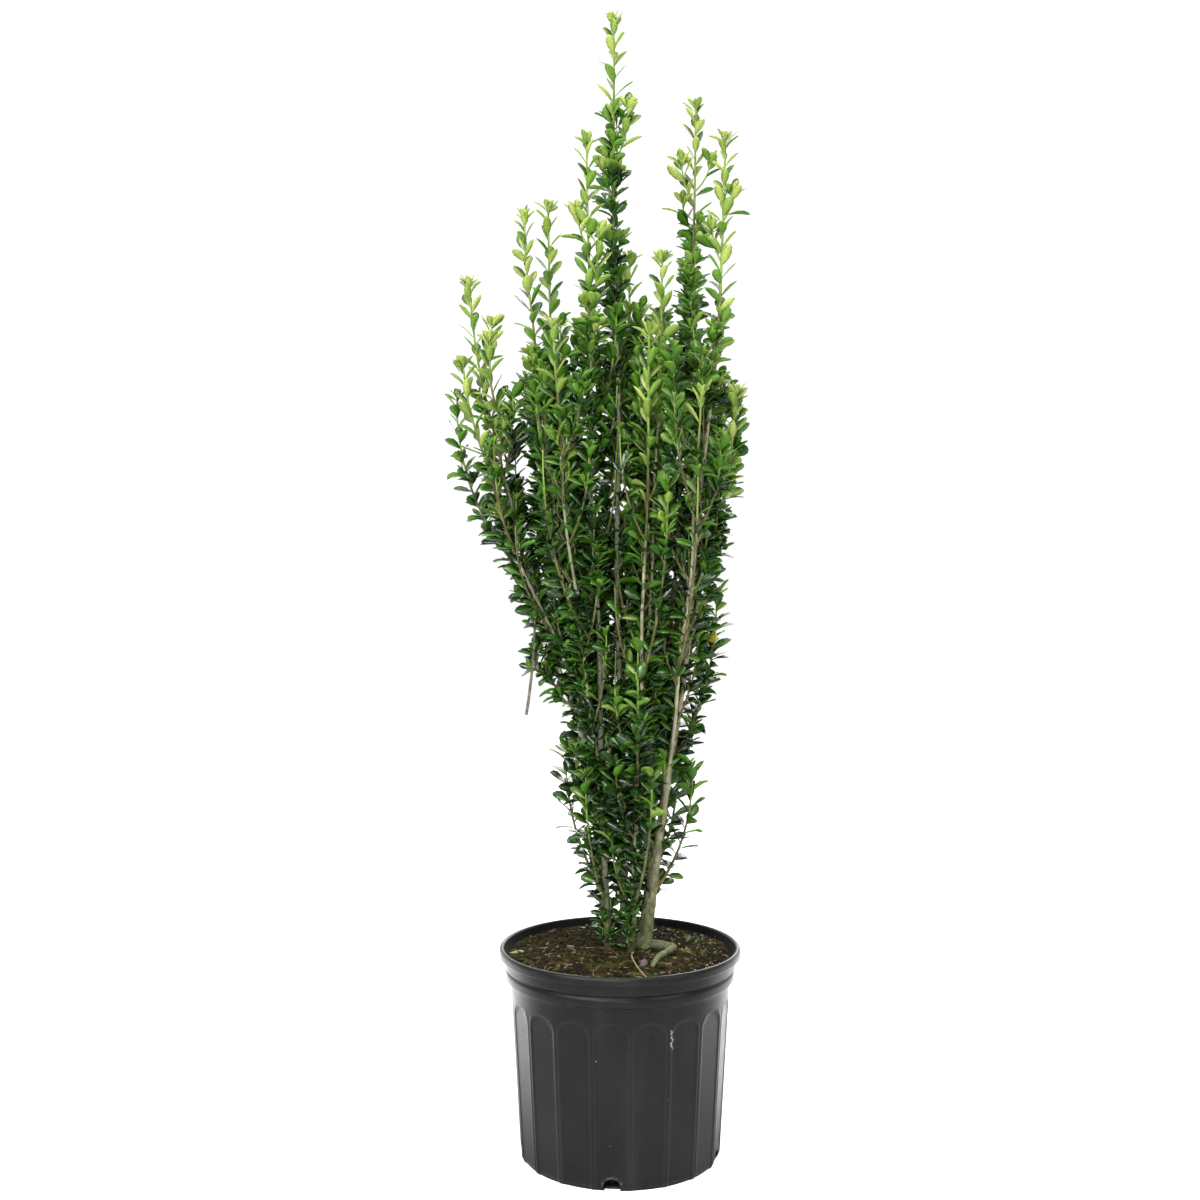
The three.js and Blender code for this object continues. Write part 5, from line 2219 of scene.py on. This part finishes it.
    def grow_shoot(self, path: LeaningPath, seed: int, kind: ShootKind) -> None:
        """Dresses one side shoot.

        Args:
            path: Its path.
            seed: Its own random stream.
            kind: Its kind.
        """
        dice = Dice(seed)
        is_high = kind is MAIN_SHOOT or path.tip.z > MIDDLE_ZONE.top_z
        is_fresh = is_high or dice.number() < kind.fresh
        fresh_from = dice.between(0.5, 0.75) if is_fresh else self.shoot_end
        middle = lerp(kind.radius, 0.8, fresh_from)
        self.twigs[TwigKind.BROWN].lay(path.line(0, fresh_from, 7), kind.radius, middle, 6)
        if is_fresh:
            self.twigs[TwigKind.GREEN].lay(path.line(fresh_from, self.shoot_end, 5), middle, 0.8, 6)
        height, turn = 10.0, TAU * dice.number()
        while height < path.rise - 6:
            share = height / path.rise
            root, axis = path.stance(share)
            zone = self.zone_at(root.z)
            scale = self.size_at(root.z, self.low_leaf_size)
            turn += GOLDEN_ANGLE + dice.between(-0.3, 0.3)
            spray = Spray(dice.pick(FRESH_TINTS if share > fresh_from else zone.tints), zone.bend, dice)
            size = dice.between(*zone.leaf) * scale
            is_low = path.foot.z < self.low_shoot_z
            if share < 0.8 and not is_low and dice.number() < self.shoot_spurs:
                self.add_spur(root, axis, turn, dice.between(*zone.spur) * scale * 0.8, zone, spray)
            else:
                self.add_leaf(root, axis, turn, lerp(1.15, 0.5, share), 1.08 * size, spray)
            height += dice.between(*self.shoot_leaf_step)
        end, axis = path.stance(self.shoot_end)
        length = 18 * self.size_at(end.z, self.low_shoot_size)
        self.add_rosette(end, axis, length, 6, Spray(Tint.FRESH if is_fresh else Tint.MID, (0.0, 0.6), dice))

    def add_yellow_leaf(self) -> None:
        """Sets the one yellow leaf on a short twig at the right of the right stem."""
        path = self.limbs["stem_right"].path
        foot = path.point(path.share_at(self.yellow_leaf_z))
        along = Vector((0.75, -0.60, 0.28)).normalized()
        root = foot + 26.0 * along
        self.twigs[TwigKind.BROWN].lay([foot, foot.lerp(root, 0.5), root + along], 1.0, 0.7)
        side = along.cross(Vector((0.2, -1.0, 0.4))).normalized()
        self.leaves[Tint.YELLOW].lay(root, along, side, (20.0, 1.3, 0.2, 0.2, 0.0))

    def build_wood(self) -> None:
        """Builds the bark of all limbs, the surface root and the dead twig."""
        bm = bmesh.new()
        for layer in self.BARK_LAYERS:
            bm.verts.layers.float_vector.new(layer)
        for limb in self.limbs.values():
            limb.add_wood(bm)
        SurfaceRoot().add_wood(bm)
        settle(finished("canes", closed_mesh(bm, "canes", 80.0), Bark().material()), "bark", *self.limbs)
        DeadTwig().build(self.limbs)

    def build_foliage(self) -> None:
        """Grows and joins all twigs and leaves."""
        for number, limb in enumerate(self.limbs.values()):
            self.grow_old(limb, SEED + 500 + number)
            if limb.plan.name in COVERED_TO:
                self.cover_front(limb, COVERED_TO[limb.plan.name], SEED + 600 + number)
            self.grow_new(limb, SEED + 700 + number)
        self.grow_side_shoots()
        self.add_yellow_leaf()
        masses = [node for node in frame["nodes"] if node.startswith(("crown_", "side_"))]
        for kind, bed in self.twigs.items():
            name = kind.value.name.replace(" ", "_") + "s"
            settle(finished(name, bed.mesh(name), kind.value.material()), "bark", *masses)
        for tint, bed in self.leaves.items():
            finishes = tint.value.upper(), tint.value.under()
            slot = "young_foliage" if tint in (Tint.LIME, Tint.YOUNG) else "foliage"
            for number, part in enumerate(bed.parts(self.leaves_a_piece), 1):
                name = f"leaves_{tint.value.name}_{number}"
                settle(finished(name, part.mesh(name), *finishes), slot, *masses)


# The studio


@dataclass(frozen=True)
class Studio:
    """A pale floor, soft white light all round and a camera at the photograph's angle."""

    distance: float = 1.95
    side: float = -0.023
    height: float = 0.752
    focal_pixels: float = 1678.0
    image_pixels: float = 1200.0
    horizon_pixels: float = 505.0
    sensor_width: float = 36.0
    floor_size: float = 80.0
    floor_colour: Colour = (0.92, 0.92, 0.92)
    room_light: float = 0.06
    gloss_light: Span = (0.06, 1.6)
    backdrop_light: float = 1.1
    floor_glow: float = 0.93
    floor_shine: Span = (2.1, 3.3)

    # Soft square lamps: name, place and side in metres, watts and whether they only mirror.
    LAMPS = (
        ("left", (-2.0, -1.9, 2.1), 1.3, 54.0, False),
        ("right", (2.1, -1.7, 1.9), 1.3, 38.0, False),
        ("top", (0.0, -0.6, 3.0), 1.6, 46.0, False),
        ("front", (-0.3, -2.7, 1.2), 1.2, 26.0, False),
        ("back", (0.6, 2.6, 1.5), 1.5, 30.0, False),
        ("sheen", (-1.3, -2.2, 2.4), 2.0, 70.0, True),
    )
    LAMP_AIM = Vector((0, 0, 0.7))

    @staticmethod
    def grey(level: float) -> Colour:
        """A grey of a level."""
        return (level, level, level)

    def set_camera(self) -> None:
        """Sets the camera."""
        lens = bpy.data.cameras.new("camera")
        lens.sensor_width = self.sensor_width
        lens.lens = self.focal_pixels / self.image_pixels * lens.sensor_width
        lens.shift_y = self.horizon_pixels / self.image_pixels - 0.5
        camera = bpy.data.objects.new("camera", lens)
        camera.location = (self.side, -self.distance, self.height)
        camera.rotation_euler = (math.pi / 2, 0, 0)
        bpy.context.scene.collection.objects.link(camera)
        bpy.context.scene.camera = camera

    def floor_material(self) -> Material:
        """Makes the floor's pale surface, which also mirrors as light in the pot.

        Returns:
            The material.
        """
        coat = Coat("studio floor", 0.9, 0.1)
        nodes = coat.nodes
        place = nodes.coordinates()
        coat.set("Base Color", coat.patchy(self.floor_colour, place, 1.5, 0.02))
        coat.rough(place, 40.0, 0.02)
        rays = nodes.add("LightPath")
        x, y, _ = nodes.split(place)
        mirrored = nodes.times(rays["Is Glossy Ray"], nodes.band(y, -0.05, 0.35))
        shine = nodes.mix(nodes.band(x, 1.0, -1.0), *map(self.grey, self.floor_shine))
        glow = nodes.layers(self.grey(0.0), (mirrored, shine), (rays["Is Camera Ray"], self.grey(1.0)))
        coat.set("Emission Color", glow)
        coat.set("Emission Strength", self.floor_glow)
        coat.material.cycles.emission_sampling = "NONE"
        return coat.material

    def lay_floor(self) -> None:
        """Lays the floor."""
        bm = bmesh.new()
        bmesh.ops.create_grid(bm, x_segments=8, y_segments=8, size=self.floor_size)
        mesh = bpy.data.meshes.new("floor")
        bm.to_mesh(mesh)
        bm.free()
        finished("floor", mesh, self.floor_material())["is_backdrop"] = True

    def hang_lamps(self) -> None:
        """Hangs the lamps so that they face the plant."""
        for name, place, size, power, only_mirrors in self.LAMPS:
            light = bpy.data.lights.new(name, "AREA")
            light.size = size
            light.energy = power
            lamp = bpy.data.objects.new(name, light)
            lamp.location = place
            lamp.visible_diffuse = not only_mirrors
            lamp.rotation_euler = (self.LAMP_AIM - Vector(place)).to_track_quat("-Z", "Y").to_euler()
            bpy.context.scene.collection.objects.link(lamp)

    def light_room(self) -> None:
        """Puts a white room round the plant, which lights it less than it shows and mirrors in it."""
        world = bpy.data.worlds.new("studio")
        world.use_nodes = True
        nodes = Nodes(world.node_tree)
        rays = nodes.add("LightPath")
        _, backward, _ = nodes.split(nodes.add("TexCoord")["Generated"])
        gloss = nodes.mix(nodes.band(backward, 0.0, 0.85), *map(self.grey, self.gloss_light))
        level = nodes.layers(
            self.grey(self.room_light),
            (rays["Is Glossy Ray"], gloss),
            (rays["Is Camera Ray"], self.grey(self.backdrop_light)),
        )
        nodes.feed(world.node_tree.nodes["Background"].inputs["Color"], level)
        bpy.context.scene.world = world

    def build(self) -> None:
        """Sets up the whole studio."""
        self.set_camera()
        self.lay_floor()
        self.hang_lamps()
        self.light_room()
        bpy.context.scene.view_settings.view_transform = "Standard"


def write_sizes() -> None:
    """Works out the solids' box and the finished model's box."""
    boxes = {"cad": CAD_BOX, "visual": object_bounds()}
    sizes = {name: [list(corner) for corner in box] for name, box in boxes.items()}


def main() -> None:
    """Builds the studio, the pot, the soil and the plant."""
    logging.basicConfig(level=logging.INFO, format="%(name)s %(message)s")
    Studio().build()
    Pot().build()
    soil = SoilBed()
    soil.build()
    crown = Crown(soil)
    crown.build_wood()
    crown.build_foliage()
    write_sizes()


if __name__ == "__main__":
    main()
